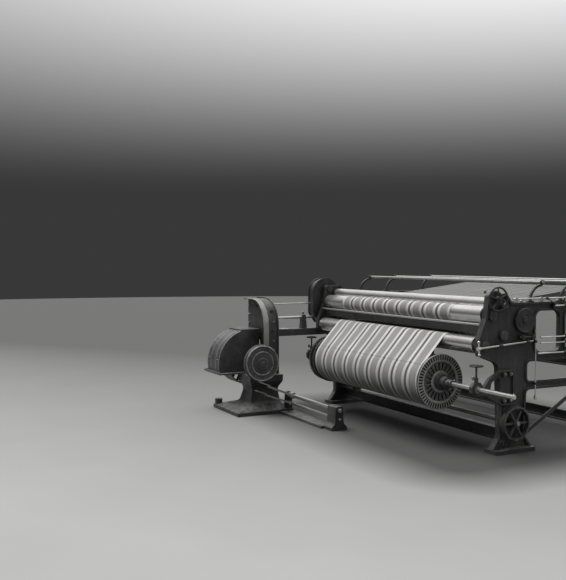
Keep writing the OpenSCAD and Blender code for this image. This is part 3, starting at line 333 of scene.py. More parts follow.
class Shading(Nodes):
    """Short ways to lay the shader nodes of one material."""

    def __init__(self, name):
        self.material = bpy.data.materials.new(name)
        self.material.use_nodes = True
        super().__init__(self.material.node_tree)
        self.shader = self.tree.nodes["Principled BSDF"]
        self.place = self.coordinates.outputs["Object"]

    def stretched(self, scale):
        """Object coordinates multiplied by a scale for each axis."""
        return self.add("ShaderNodeMapping", {"Vector": self.place, "Scale": scale}).outputs[0]

    def noise(self, size, detail=4.0, roughness=0.55, stretch=None):
        """Noise of about the given size in metres, from 0 to 1."""
        source = self.stretched(stretch) if stretch else self.place
        values = {"Vector": source, "Scale": 1 / size, "Detail": detail, "Roughness": roughness}
        return self.add("ShaderNodeTexNoise", values).outputs["Fac"]

    def axis(self, name):
        """Distance from the origin along one axis."""
        return self.add("ShaderNodeSeparateXYZ", {0: self.place}).outputs[name]

    def ramp(self, source, stops):
        """Numbers or colours at places from 0 to 1."""
        node = self.add("ShaderNodeValToRGB", {"Fac": source})
        points = node.color_ramp.elements
        while len(points) < len(stops):
            points.new(0.5)
        for point, (position, value) in zip(points, sorted(stops, key=lambda stop: stop[0])):
            point.position = position
            number = isinstance(value, (int, float))
            point.color = (value, value, value, 1) if number else (*value, 1)
        return node.outputs["Color"]

    def blend(self, share, first, second):
        """A mix of two colours."""
        node = self.add("ShaderNodeMix", {"Factor": share}, data_type="RGBA")
        for socket, value in ((node.inputs[6], first), (node.inputs[7], second)):
            self.feed(socket, value if isinstance(value, bpy.types.NodeSocket) else (*value, 1))
        return node.outputs[2]

    def worn_edges(self, radius=0.004, low=0.02, high=0.16):
        """Near 1 on sharp outer edges, where the surface has rubbed bright."""
        rounded = self.add("ShaderNodeBevel", {"Radius": radius}, samples=6).outputs[0]
        true = self.add("ShaderNodeNewGeometry").outputs["True Normal"]
        dot = self.add("ShaderNodeVectorMath", {0: rounded, 1: true}, operation="DOT_PRODUCT")
        bend = self.sums("SUBTRACT", 1.0, dot.outputs["Value"])
        return self.ramp(bend, [(low, 0.0), (high, 1.0)])

    def facing_up(self, low=0.45, high=0.9):
        """1 on faces that look up."""
        split = self.add("ShaderNodeSeparateXYZ", {0: self.coordinates.outputs["Normal"]})
        return self.ramp(split.outputs["Z"], [(low, 0.0), (high, 1.0)])

    def bump(self, height, distance, strength=1.0, edge=0.0):
        """Relief from a height, laid over rounded edges."""
        values = {"Height": height, "Distance": distance, "Strength": strength}
        if edge:
            values["Normal"] = self.add("ShaderNodeBevel", {"Radius": edge}, samples=6).outputs[0]
        return self.add("ShaderNodeBump", values).outputs[0]

    def finish(self, colour, roughness, metallic=0.0, normal=None, **sockets):
        """Connects the shader's sockets."""
        self.feed(self.shader.inputs["Base Color"],
                  colour if isinstance(colour, bpy.types.NodeSocket) else (*colour, 1))
        self.feed(self.shader.inputs["Roughness"], roughness)
        self.feed(self.shader.inputs["Metallic"], metallic)
        if normal is not None:
            self.feed(self.shader.inputs["Normal"], normal)
        for key, value in sockets.items():
            self.shader.inputs[key.replace("_", " ")].default_value = value
        return self.material


def scaled(colour, share):
    """A colour made lighter or darker."""
    return tuple(min(1.0, c * share) for c in colour)


def grey(value):
    """A neutral colour."""
    return (value, value, value * 0.99)


def dark_iron(name, colour, dust, cover, sheen=0.42):
    """Oily casting: sandy skin, oil streaks, dust on its ledges and rubbed edges."""
    s = Shading(name)
    cloud = s.noise(0.21, 6)
    sand = s.noise(0.0045, 3, 0.7)
    streak = s.noise(0.02, 4, 0.6, (1.0, 1.0, 0.09))
    cloud = s.ramp(cloud, [(0.3, 0.0), (0.7, 1.0)])
    tone = s.blend(cloud, scaled(colour, 0.6), scaled(colour, 1.5))
    tone = s.blend(s.ramp(streak, [(0.56, 0.0), (0.7, 0.6)]), tone, scaled(colour, 2.6))
    patches = s.ramp(s.noise(0.055, 7, 0.68), [(0.4, 0.0), (0.62, 1.0)])
    lying = s.sums("MULTIPLY", s.facing_up(), s.sums("MULTIPLY", patches, cover))
    tone = s.blend(lying, tone, tuple(dust))
    edges = s.worn_edges()
    rubbed = s.sums("MULTIPLY", edges, s.ramp(s.noise(0.04, 4), [(0.38, 0.05), (0.66, 0.75)]))
    tone = s.blend(rubbed, tone, grey(0.17))
    shine = s.ramp(s.noise(0.09, 5, 0.6), [(0.3, sheen - 0.12), (0.75, sheen + 0.26)])
    shine = s.sums("MAXIMUM", shine, s.sums("MULTIPLY", lying, 0.92))
    return s.finish(tone, shine, 0.0, s.bump(sand, 0.0011, 0.55, edge=0.0035), IOR=1.5)


def bright_steel(name, colour, roughness=0.27, dirt=0.35):
    """Turned steel, with fine rings and oily patches."""
    s = Shading(name)
    rings = s.noise(0.02, 2, 0.5, (1.0, 0.02, 0.02))
    patches = s.ramp(s.noise(0.16, 3, 0.5), [(0.4, 0.0), (0.75, dirt)])
    tone = s.blend(patches, tuple(colour), scaled(colour, 0.34))
    shine = s.sums("ADD", s.sums("MULTIPLY", patches, 0.25), roughness)
    return s.finish(tone, shine, 0.85, s.bump(rings, 0.0001, 0.04))


def rubbed_iron(name, tone_value, bright):
    """Handled cast iron, clouded with oil and bright on its rubbed edges."""
    s = Shading(name)
    cloud = s.ramp(s.noise(0.035, 6, 0.6), [(0.32, 0.0), (0.7, 1.0)])
    tone = s.blend(cloud, grey(tone_value * 0.55), grey(tone_value * 1.45))
    rubbed = s.sums("MULTIPLY", s.worn_edges(0.003), 0.7)
    tone = s.blend(rubbed, tone, grey(bright))
    shine = s.ramp(s.noise(0.02, 4), [(0.3, 0.34), (0.75, 0.6)])
    skin = s.noise(0.003, 3, 0.7)
    return s.finish(tone, shine, 0.45, s.bump(skin, 0.0007, 0.4, edge=0.0025))


def pale_edge(name, tone_value):
    """Edge strip from which the paint is gone, pale and a little oily; its pale tone is also a
    painted highlight.
    """
    s = Shading(name)
    cloud = s.ramp(s.noise(0.05, 5, 0.6), [(0.34, 0.0), (0.6, 1.0)])
    tone = s.blend(cloud, grey(tone_value * 0.3), grey(tone_value))
    return s.finish(tone, 0.4, 0.3)


def flange_iron(name):
    """Flange casting: its outer face pale, partly rubbed metal and partly painted light, its slots
    and windows painted near black as shade in the recesses.
    """
    s = Shading(name)
    out = s.sums("ABSOLUTE", s.axis("X"))
    # Painted light and shade: the outer face is pale, partly rubbed metal and partly painted light,
    # and everything below it is near black as painted shade
    depth = s.sums("SUBTRACT", out, FLANGE_OUT - 0.012)
    face = s.ramp(s.sums("MULTIPLY", depth, 60.0), [(0.2, 0.0), (0.62, 1.0)])
    cloud = s.ramp(s.noise(0.03, 6, 0.62), [(0.3, 0.0), (0.72, 1.0)])
    tone = s.blend(cloud, grey(0.48), grey(0.88))
    tone = s.blend(face, grey(0.035), tone)
    shine = s.ramp(s.noise(0.02, 4), [(0.3, 0.3), (0.75, 0.5)])
    return s.finish(tone, shine, 0.4, s.bump(s.noise(0.003, 3, 0.7), 0.0006, 0.35, edge=0.002))


def roller_covering(name, colour):
    """Polished metal covering, with fine rings round it, joints and a dull film of size."""
    s = Shading(name)
    rings = s.noise(0.03, 3, 0.6, (1.0, 0.01, 0.01))
    film = s.ramp(s.noise(0.12, 2, 0.5, (0.25, 1.0, 1.0)), [(0.46, 0.0), (0.8, 0.3)])
    sheets = s.sums("PINGPONG", s.sums("ADD", s.axis("X"), 4.0), 0.225)
    joint = s.ramp(sheets, [(0.0, 0.3), (0.004, 0.0)])
    tone = s.blend(film, tuple(colour), scaled(colour, 0.72))
    tone = s.blend(s.ramp(rings, [(0.5, 0.0), (0.8, 0.12)]), tone, scaled(colour, 0.6))
    tone = s.blend(joint, tone, scaled(colour, 0.3))
    shine = s.ramp(s.noise(0.12, 2, 0.5, (0.4, 1.0, 1.0)), [(0.3, 0.24), (0.75, 0.33)])
    return s.finish(tone, shine, 0.88, s.bump(rings, 0.0001, 0.03))


def aged_brass(name):
    """Dull bearing brass, clouded with dark oil."""
    s = Shading(name)
    cloud = s.ramp(s.noise(0.012, 5), [(0.35, 0.0), (0.7, 1.0)])
    tone = s.blend(cloud, (0.16, 0.13, 0.08), (0.42, 0.35, 0.21))
    return s.finish(tone, 0.42, 0.8, s.bump(s.noise(0.002, 2), 0.0003, 0.3, edge=0.001))


def bare_wood(name):
    """Worn wooden barrel, its grain along the beam."""
    s = Shading(name)
    grain = s.noise(0.006, 6, 0.6, (0.05, 1.0, 1.0))
    tone = s.ramp(grain, [(0.3, (0.13, 0.1, 0.07)), (0.7, (0.32, 0.26, 0.19))])
    return s.finish(tone, 0.68, 0.0, s.bump(grain, 0.0008, 0.5))


def guard_sheet(name, colour):
    """Sheet guard: dark paint rubbed through along its folds and scratched on its flats."""
    s = Shading(name)
    cloud = s.ramp(s.noise(0.14, 6, 0.6), [(0.3, 0.0), (0.72, 1.0)])
    tone = s.blend(cloud, scaled(colour, 0.65), scaled(colour, 1.7))
    scratch = s.ramp(s.noise(0.012, 3, 0.5, (0.12, 1.0, 1.0)), [(0.68, 0.0), (0.74, 0.5)])
    edges = s.sums("MAXIMUM", s.worn_edges(0.006, 0.01, 0.1), s.sums("MULTIPLY", scratch, 0.3))
    tone = s.blend(edges, tone, grey(0.5))
    shine = s.ramp(s.noise(0.07, 5), [(0.3, 0.3), (0.75, 0.58)])
    waves = s.noise(0.11, 2, 0.4)
    return s.finish(tone, shine, 0.2, s.bump(waves, 0.004, 0.35, edge=0.003))


def striped_threads(name, warp, shade=1.0):
    """Warp threads in dark, pale and grey stripes, ribbed along their run; shade darkens every
    colour as painted shade, for the open threads.
    """
    s = Shading(name)
    # Dark stripes lie half a pitch either side of the mid-line and outwards from there
    along = s.sums("ADD", s.sums("DIVIDE", s.axis("X"), warp.stripe_pitch), 100.5)
    wander = s.sums("MULTIPLY", s.sums("SUBTRACT", s.noise(0.12, 3), 0.5), 0.03)
    nearest = s.sums("PINGPONG", s.sums("ADD", along, wander), 0.5)
    dark_edge = warp.dark_width / 2 / warp.stripe_pitch
    pale_edge = dark_edge + warp.pale_width / warp.stripe_pitch
    soft = 0.012
    stripes = s.ramp(nearest, [
        (dark_edge - soft, scaled(warp.dark_colour, shade)),
        (dark_edge + soft, scaled(warp.pale_colour, shade)),
        (pale_edge - soft, scaled(warp.pale_colour, shade)),
        (pale_edge + 2 * soft, scaled(warp.ground_colour, shade)),
        (0.5, scaled(warp.ground_colour, shade * 1.06))])
    streaks = s.noise(0.0034, 4, 0.75, (1.0, 0.012, 0.012))
    streaks = s.ramp(streaks, [(0.4, 0.55), (0.62, 0.0)])
    tone = s.blend(streaks, stripes, scaled(warp.dark_colour, 2.2))
    cloud = s.ramp(s.noise(0.3, 4), [(0.3, 0.2), (0.7, 0.0)])
    tone = s.blend(cloud, tone, scaled(warp.ground_colour, 0.5))
    threads = s.noise(0.0015, 2, 0.6, (1.0, 0.01, 0.01))
    return s.finish(tone, 0.72, 0.0, s.bump(threads, 0.0006, 0.6), Sheen_Weight=0.25,
                    Sheen_Roughness=0.5)


def lint(name, colour):
    """Loose fluff and dust."""
    s = Shading(name)
    tone = s.blend(s.noise(0.006, 4), scaled(colour, 0.55), scaled(colour, 1.35))
    return s.finish(tone, 0.95, 0.0, s.bump(s.noise(0.0016, 4, 0.7), 0.0015, 0.9), Sheen_Weight=0.4)


FINISHES = {}


def make_finishes():
    """Builds each finish once."""
    scene = bpy.context.scene
    warp, surfaces = scene.headstock_warp, scene.headstock_surfaces
    dust, cover = surfaces.dust, surfaces.dust_cover
    FINISHES.update({
        "frame_iron": dark_iron("oily_iron", surfaces.iron, dust, cover),
        "dark_paint": dark_iron("machine_paint", surfaces.paint, dust, cover * 0.8, 0.34),
        "clean_iron": dark_iron("clean_iron", scaled(surfaces.iron, 1.7), dust, 0.0, 0.4),
        "steel": bright_steel("bright_steel", surfaces.steel),
        "bolt_steel": bright_steel("bolt_steel", scaled(surfaces.steel, 0.5), 0.34, 0.5),
        "rubbed_edge": pale_edge("rubbed_edge", 0.6),
        "strap_steel": bright_steel("strap_steel", scaled(surfaces.steel, 0.62), 0.34, 0.6),
        "dull_steel": bright_steel("dull_steel", scaled(surfaces.steel, 0.55), 0.38, 0.6),
        "worn_iron": rubbed_iron("rubbed_iron", 0.07, 0.34),
        "flange_iron": flange_iron("flange_iron"),
        # The open threads behind the top roller are darkened to three tenths, as painted shade
        "rear_threads": striped_threads("rear_threads", warp, 0.3),
        "roller_cover": roller_covering("roller_covering", surfaces.roller),
        "brass": aged_brass("bearing_brass"),
        "barrel_wood": bare_wood("barrel_wood"),
        "sheet_metal": guard_sheet("guard_sheet", scaled(surfaces.paint, 2.2)),
        "warp_threads": striped_threads("striped_threads", warp),
        "lint": lint("lint", dust),
    })


# Threads

# Height at which the threads come in, and the Y behind which they lie open
ENTRY_HEIGHT = 1.428
OPEN_FROM = 0.46
# The sheet's middle above the rollers, and the longest steps of its run
SHEET_LIFT = 0.0013
ARC_STEP = math.radians(5)
LONG_RUN_STEP = 0.12
# Sides of the roll, and how deep it dips at a dark line
ROLL_SIDES = 96
ROLL_DIP = 0.0035


def run_heading(first, second):
    """Heading of the straight run from one bend (Y, Z, radius, side) to the next."""
    step = Vector(second[:2]) - Vector(first[:2])
    pull = (first[3] * first[2] - second[3] * second[2]) / step.length
    return math.atan2(step.y, step.x) + math.asin(max(-1.0, min(1.0, pull)))


def on_bend(bend, heading):
    """Where the sheet lies on a bend while it runs in a direction."""
    y, z, radius, side = bend
    angle = heading - side * math.pi / 2
    return Vector((y + radius * math.cos(angle), z + radius * math.sin(angle)))


def warp_run():
    """Points (Y, Z) of the sheet's middle, from the back edge round the rollers to the beam."""
    entry = (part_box("warp_sheet")[1].y - BEAM_Y, ENTRY_HEIGHT, 0.0, 0)
    turns = {"top_roller": -1, "drag_roller": 1, "rear_roller": -1, "front_roller": 1}
    bends = []
    for node, side in turns.items():
        y, z, radius = roller_facts(node)
        bends.append((y, z, radius + SHEET_LIFT, side))
    bends.append((0.0, BEAM_Z, WARP_R + SHEET_LIFT, 1))
    points = [Vector(entry[:2])]
    heading = run_heading(entry, bends[0])
    for here, after in zip(bends, bends[1:]):
        side = here[3]
        leave = run_heading(here, after)
        sweep = side * ((side * (leave - heading)) % math.tau)
        count = math.ceil(abs(sweep) / ARC_STEP)
        points += [on_bend(here, heading + sweep * k / count) for k in range(count + 1)]
        heading = leave
    points.append(on_bend(bends[-1], heading))
    return points


def subdivided(points, longest):
    """The same run with no step longer than the given one."""
    result = [points[0]]
    for start, end in zip(points, points[1:]):
        count = max(1, math.ceil((end - start).length / longest))
        result += [start.lerp(end, k / count) for k in range(1, count + 1)]
    return result


class HEADSTOCK_OT_warp_sheet(bpy.types.Operator):
    """Sheet of warp threads over the rollers, with open threads behind the top roller"""

    bl_idname = "headstock.warp_sheet"
    bl_label = "Warp Sheet"

    def execute(self, context):
        warp = context.scene.headstock_warp
        run = subdivided(warp_run(), LONG_RUN_STEP)
        columns = 2 * round(2 * WARP_HALF / warp.ridge_pitch)
        deselect()
        bpy.ops.mesh.primitive_grid_add(x_subdivisions=columns, y_subdivisions=len(run) - 1, size=1)
        sheet = newest("warp_thread_sheet")
        across = columns + 1
        for vertex in sheet.data.vertices:
            column, row = vertex.index % across, vertex.index // across
            before, after = run[max(row - 1, 0)], run[min(row + 1, len(run) - 1)]
            along = (after - before).normalized()
            outward = Vector((-along.y, along.x))
            ridge = warp.ridge_depth * (0.25 if column % 2 else -0.25)
            y, z = run[row] + outward * ridge
            vertex.co = spot(WARP_HALF * (2 * column / columns - 1), y, z)
        open_rows = [r for r, p in enumerate(run[:-1]) if p.x > OPEN_FROM]
        select_by("FACE")
        for face in sheet.data.polygons:
            column, row = face.index % columns, face.index // columns
            face.select = row in open_rows and column % 2 == 1
        bpy.ops.object.mode_set(mode="EDIT")
        bpy.ops.mesh.delete(type="FACE")
        bpy.ops.object.mode_set(mode="OBJECT")
        body = sheet.modifiers.new("thickness", "SOLIDIFY")
        body.thickness = warp.thickness
        body.offset = 0
        bpy.ops.object.modifier_apply(modifier=body.name)
        settle(sheet, "frame", "warp_threads", "warp_threads", 60)
        sheet.data.materials.append(FINISHES["rear_threads"])
        # Faces behind OPEN_FROM get the darker finish, as painted shade
        for face in sheet.data.polygons:
            face.material_index = 1 if face.center.y - BEAM_Y > OPEN_FROM else 0
        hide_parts("warp_sheet")
        return {"FINISHED"}


class HEADSTOCK_OT_wound_warp(bpy.types.Operator):
    """Warp wound on the beam, ribbed by its threads and crowned between its dark lines"""

    bl_idname = "headstock.wound_warp"
    bl_label = "Wound Warp"

    def execute(self, context):
        warp = context.scene.headstock_warp
        columns = 2 * round(2 * WARP_HALF / warp.ridge_pitch)
        deselect()
        bpy.ops.mesh.primitive_cylinder_add(
            vertices=ROLL_SIDES, radius=WARP_R, depth=2 * WARP_HALF, end_fill_type="NOTHING")
        roll = newest("wound_warp_threads")
        select_by("EDGE")
        for edge in roll.data.edges:
            ends = [roll.data.vertices[i].co.z for i in edge.vertices]
            edge.select = abs(ends[0] - ends[1]) > WARP_HALF
        bpy.ops.object.mode_set(mode="EDIT")
        bpy.ops.mesh.subdivide(number_cuts=columns - 1)
        bpy.ops.object.mode_set(mode="OBJECT")
        for vertex in roll.data.vertices:
            x, y, z = vertex.co
            column = round((z / WARP_HALF + 1) / 2 * columns)
            near = abs(z / warp.stripe_pitch % 1 - 0.5) * warp.stripe_pitch
            crown = -ROLL_DIP * max(0.0, 1 - near / (warp.dark_width * 0.7))
            ridge = -warp.ridge_depth if column % 2 else 0.0
            lift = (WARP_R + crown + ridge) / math.hypot(x, y)
            vertex.co = (x * lift, y * lift, z)
        bpy.ops.object.mode_set(mode="EDIT")
        bpy.ops.mesh.select_all(action="SELECT")
        bpy.ops.mesh.region_to_loop()
        bpy.ops.mesh.edge_face_add()
        bpy.ops.mesh.select_all(action="SELECT")
        bpy.ops.mesh.normals_make_consistent(inside=False)
        bpy.ops.object.mode_set(mode="OBJECT")
        lay_on(roll, spot(0, 0, BEAM_Z), (1, 0, 0))
        settle(roll, "warp_beam", "warp_threads", "warp_threads", 60)
        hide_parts("wound_warp")
        return {"FINISHED"}


# Bolts, caps, cups and other small fittings

# How far outside a piece, and how high over the machine, a line starts that looks for its face
PROBE = 0.3
ABOVE = 2.0

# Bolts of the beam arms: in from the arm's back, up from its bottom and down from its top
ARM_BOLTS_IN = (0.11, 0.04)
ARM_BOLTS_UP = 0.04
ARM_BOLTS_DOWN = 0.035
# Braces, feet and their bolts on the side frames
BRACE_T = 0.01
BRACE_ENDS = ((0.57, 0.158), (1.33, 0.5775))
WEB_OUT = 1.412
FOOT_BOLT_Z = 0.106
FOOT_BOLTS_Y = (0.302, 0.55, 1.54, 1.7)
# Round corner of the gear case, and the bolts of its strap
CASE_ROUND = 0.3
STRAP_BOLT_INSET = 0.034
STRAP_BOLT_ANGLES = (15, 40, 65)
STRAP_BOLTS_Z = (0.66, 0.76, 0.86)

# Turned fittings, as (height, radius) steps
DEEP_CAP = [(0, 0.043), (0.011, 0.043), (0.0135, 0.04), (0.0135, 0.03), (0.016, 0.027),
            (0.016, 0.001)]
SHALLOW_CAP = [(0, 0.04), (0.0045, 0.04), (0.0062, 0.037), (0.0062, 0.024), (0.0068, 0.021),
               (0.0068, 0.001)]
CAP_SCREW_RING = 0.035
OIL_CUP = [(0, 0.006), (0.008, 0.006), (0.008, 0.011), (0.026, 0.012), (0.027, 0.014),
           (0.03, 0.014), (0.036, 0.009), (0.038, 0.003)]
PLUG = [(0, 0.024), (0.006, 0.024), (0.006, 0.017), (0.016, 0.017), (0.018, 0.015),
        (0.018, 0.001)]
CROSS_PIN = [(-0.03, 0.003), (-0.028, 0.0045), (0.028, 0.0045), (0.03, 0.003)]
RATCHET = [(0, 0.016), (0.012, 0.016), (0.012, 0.044), (0.015, 0.047), (0.025, 0.047),
           (0.028, 0.044), (0.028, 0.022), (0.036, 0.019), (0.036, 0.008), (0.042, 0.007)]
KNOB = [(-0.014, 0.005), (-0.01, 0.011), (0.0, 0.0135), (0.01, 0.011), (0.014, 0.005)]

# Oil cups on the arm caps, the top of the right frame, the drive bearings and the bridge
OIL_CUPS = ((1.448, -0.036, 0.669), (-1.448, -0.036, 0.669), (1.4, 0.13, 1.402),
            (-1.49, -0.74, 0.57), (-1.31, -0.74, 0.57), (-1.476, -0.1, 1.06))
# Bolts on the front (X, height) and the side (height) of the gear case, and its plugs (height)
CASE_FRONT = ((-1.845, 0.96), (-1.845, 1.06), (-1.845, 1.16), (-1.74, 1.205), (-1.66, 1.16))
CASE_SIDE = (0.68, 0.78, 1.0)
CASE_PLUGS = (0.9, 1.12)
CASE_SIDE_BACK = 0.06
# Round hood of the worm case, its bolts in from the rim, and how far the lowest are down its sides
HOOD_R = 0.17
HOOD_BOLTS_IN = 0.022
HOOD_SIDE_IN = 0.03
HOOD_SIDE_DROPS = (0.12, 0.26)
# Radius of the beads and rings on the guards
WIRE_R = 0.006
# Rings and studs of the disc guard, as shares of its radius
DISC_RINGS = (0.93, 0.62)
DISC_STUDS = 0.78
# Places of the pulley cover's studs round its curve, in degrees
COVER_STUD_ANGLES = (100, 118, 136, 154, 172)
# X of the set screws in the beam collars, and their turns round the shaft
COLLAR_SCREWS = (-1.1, 1.11)
COLLAR_TURNS = (0.6, 0.6 + math.tau / 3, 0.6 + 2 * math.tau / 3)

# Solid parts of the girder between its windows
FRAME_POSTS = (1.028, 1.8)
# X, height, near and far ends and radius of each rod
SIDE_RODS = ((1.462, 1.006, 0.72, 1.84, 0.007), (1.462, 0.953, 0.72, 1.84, 0.006),
             (1.45, 0.86, 0.70, 1.84, 0.008), (1.45, 1.285, 0.9, 1.84, 0.008))
# Y, height, reach and angle of each ratchet lever
SIDE_LEVERS = ((0.943, 1.282, 0.15, math.radians(152)), (1.14, 0.832, 0.17, math.radians(118)),
               (1.6, 1.282, 0.15, math.radians(140)))
# X and Y of the nuts on the top of the right frame
FRAME_TOP_NUTS = ((1.385, 0.47), (1.385, 0.56), (1.385, 0.8), (1.385, 1.0), (1.385, 1.3))


def hex_bolt(name, across, height):
    """A hexagon head on its washer, with the bolt's end showing, standing on Z = 0."""
    radius = across / 2 / math.cos(math.pi / 6)
    rim = 0.12 * across
    washer = turned(f"{name}_washer", [(0, radius * 1.12), (rim, radius * 1.12)], 20)
    head = turned(f"{name}_head", [(rim, radius), (height * 0.85, radius),
                                   (height, radius * 0.86)], 6)
    end = turned(f"{name}_end", [(height, radius * 0.56), (height * 1.3, radius * 0.56),
                                 (height * 1.4, radius * 0.42)], 12)
    return joined(name, [washer, head, end])


def seen_from(node, start, way):
    """Where a line from a point along a direction first meets a piece, or nothing."""
    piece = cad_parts[node]
    back = piece.matrix_world.inverted()
    found, place = piece.ray_cast(back @ start, back.to_3x3() @ Vector(way))[:2]
    return piece.matrix_world @ place if found else None


def touch(node, start, way):
    """Where a line from a point meets a piece that it must meet."""
    place = seen_from(node, start, way)
    if place is None:
        raise ValueError(f"nothing of {node} at {tuple(start)}")
    return place


def facing(node, starts, way):
    """Places on a piece's face, each seen from a start along one direction."""
    outward = -Vector(way)
    return [(touch(node, start, way), outward) for start in starts]


def tube(name, points, radius, sides=10):
    """A round rod bent through the given points."""
    deselect()
    bpy.ops.curve.primitive_nurbs_path_add()
    path = newest(name)
    line = path.data
    line.splines.clear()
    run = line.splines.new("POLY")
    run.points.add(len(points) - 1)
    for place, point in zip(run.points, points):
        place.co = (*point, 1)
    line.dimensions = "3D"
    line.bevel_depth = radius
    line.bevel_resolution = max(0, sides // 4 - 1)
    line.use_fill_caps = True
    bpy.ops.object.convert(target="MESH")
    return newest(name)


def arc_points(centre, radius, start, end, steps):
    """Points on an arc round an axis along X, angles measured from +Y up."""
    points = []
    for k in range(steps + 1):
        angle = start + (end - start) * k / steps
        points.append(centre + Vector((0, radius * math.cos(angle), radius * math.sin(angle))))
    return points


def on_both_sides(places):
    """Places (point, axis) on the right side, and their mirror images on the left."""
    result = []
    for x, y, z in places:
        result += [(spot(x, y, z), (1, 0, 0)), (spot(-x, y, z), (-1, 0, 0))]
    return result


def ring_of(centre, radius, count, axis, first=0.0):
    """Places evenly round a circle that faces along X or Y."""
    places = []
    for k in range(count):
        angle = first + math.tau * k / count
        across, up = radius * math.cos(angle), radius * math.sin(angle)
        offset = (0, across, up) if axis[0] else (across, 0, up)
        places.append((centre + Vector(offset), axis))
    return places


class HEADSTOCK_OT_bolts(bpy.types.Operator):
    """Hexagon bolts that hold the arms, braces, feet and the strap of the gear case"""

    bl_idname = "headstock.bolts"
    bl_label = "Bolts"

    def execute(self, context):
        back = arm_high.y - BEAM_Y
        arm = [(ARM_OUT, back - inset, z) for inset in ARM_BOLTS_IN
               for z in (arm_low.z + ARM_BOLTS_UP, arm_high.z - ARM_BOLTS_DOWN)]
        braces = [(RIM_OUT + BRACE_T, y, z) for y, z in BRACE_ENDS]
        feet = [(WEB_OUT, y, FOOT_BOLT_Z) for y in FOOT_BOLTS_Y]
        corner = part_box("case_strap")[1]
        centre = corner - Vector((CASE_ROUND, 0, CASE_ROUND))
        reach = CASE_ROUND - STRAP_BOLT_INSET
        strap = []
        for angle in map(math.radians, STRAP_BOLT_ANGLES):
            way = Vector((math.cos(angle), 0, math.sin(angle)))
            strap.append((centre + reach * way, (0, -1, 0)))
        for z in STRAP_BOLTS_Z:
            strap.append((Vector((corner.x - STRAP_BOLT_INSET, corner.y, z)), (0, -1, 0)))
        places = on_both_sides(arm + braces + feet) + strap
        # Each head stands at its own turn
        places = [(at, axis, 0.4 * k) for k, (at, axis) in enumerate(places)]
        heads = fasten("bolt_heads", hex_bolt("bolt", 0.026, 0.013), places)
        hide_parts("fasteners")
        return {"FINISHED"}


class HEADSTOCK_OT_bearing_caps(bpy.types.Operator):
    """Caps over the ends of the roller journals, their screws, and oil cups above them"""

    bl_idname = "headstock.bearing_caps"
    bl_label = "Bearing Caps"

    def execute(self, context):
        caps, screws = [], []
        for node, steps, side in (("drag_roller", DEEP_CAP, 1), ("rear_roller", DEEP_CAP, 1),
                                  ("front_roller", SHALLOW_CAP, 1),
                                  ("front_roller", SHALLOW_CAP, -1)):
            y, z = roller_facts(node)[:2]
            at, axis, rim = spot(side * RIM_OUT, y, z), (side, 0, 0), steps[1][0]
            caps.append(lay_on(turned("cap", steps, 36), at, axis))
            screws += ring_of(at + rim * Vector(axis), CAP_SCREW_RING, 4, axis, 0.6)
        settle(joined("journal_caps", caps), "frame", "frame_iron", "clean_iron")
        fasten("cap_screws_small", hex_bolt("screw", 0.008, 0.004), screws)
        cups = [(spot(*place), (0, 0, 1)) for place in OIL_CUPS]
        settle(spread("oil_cups", turned("cup", OIL_CUP, 20), cups), "frame", "brass", "brass")
        return {"FINISHED"}


class HEADSTOCK_OT_case_fittings(bpy.types.Operator):
    """Flange bolts of the gear case and the worm case, and the plugs in their sides"""

    bl_idname = "headstock.case_fittings"
    bl_label = "Case Fittings"

    def execute(self, context):
        case_low, case_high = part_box("gear_case")

        def on_side(heights):
            """Places on the case's right side."""
            starts = [Vector((case_high.x + PROBE, case_low.y + CASE_SIDE_BACK, z))
                      for z in heights]
            return facing("gear_case", starts, (-1, 0, 0))

        starts = [Vector((x, case_low.y - PROBE, z)) for x, z in CASE_FRONT]
        bolts = facing("gear_case", starts, (0, 1, 0)) + on_side(CASE_SIDE)
        hood_low, hood_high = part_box("worm_case")
        centre = middle_of("worm_case", hood_low.x - PROBE)
        centre.z = hood_high.z - HOOD_R
        # Of a whole ring of bolts only those on the round top are there
        ring = [place for place, _ in ring_of(centre, HOOD_R - HOOD_BOLTS_IN, 7, (-1, 0, 0))
                if place.z > centre.z - 0.06]
        for side in (-1, 1):
            ring += [centre + Vector((0, side * (HOOD_R - HOOD_SIDE_IN), -drop))
                     for drop in HOOD_SIDE_DROPS]
        bolts += facing("worm_case", ring, (1, 0, 0))
        fasten("case_bolts", hex_bolt("case_bolt", 0.019, 0.01), bolts)
        plugs = spread("case_plugs", turned("plug", PLUG, 28), on_side(CASE_PLUGS))
        settle(plugs, "frame", "worn_iron", "worn_iron")
        return {"FINISHED"}


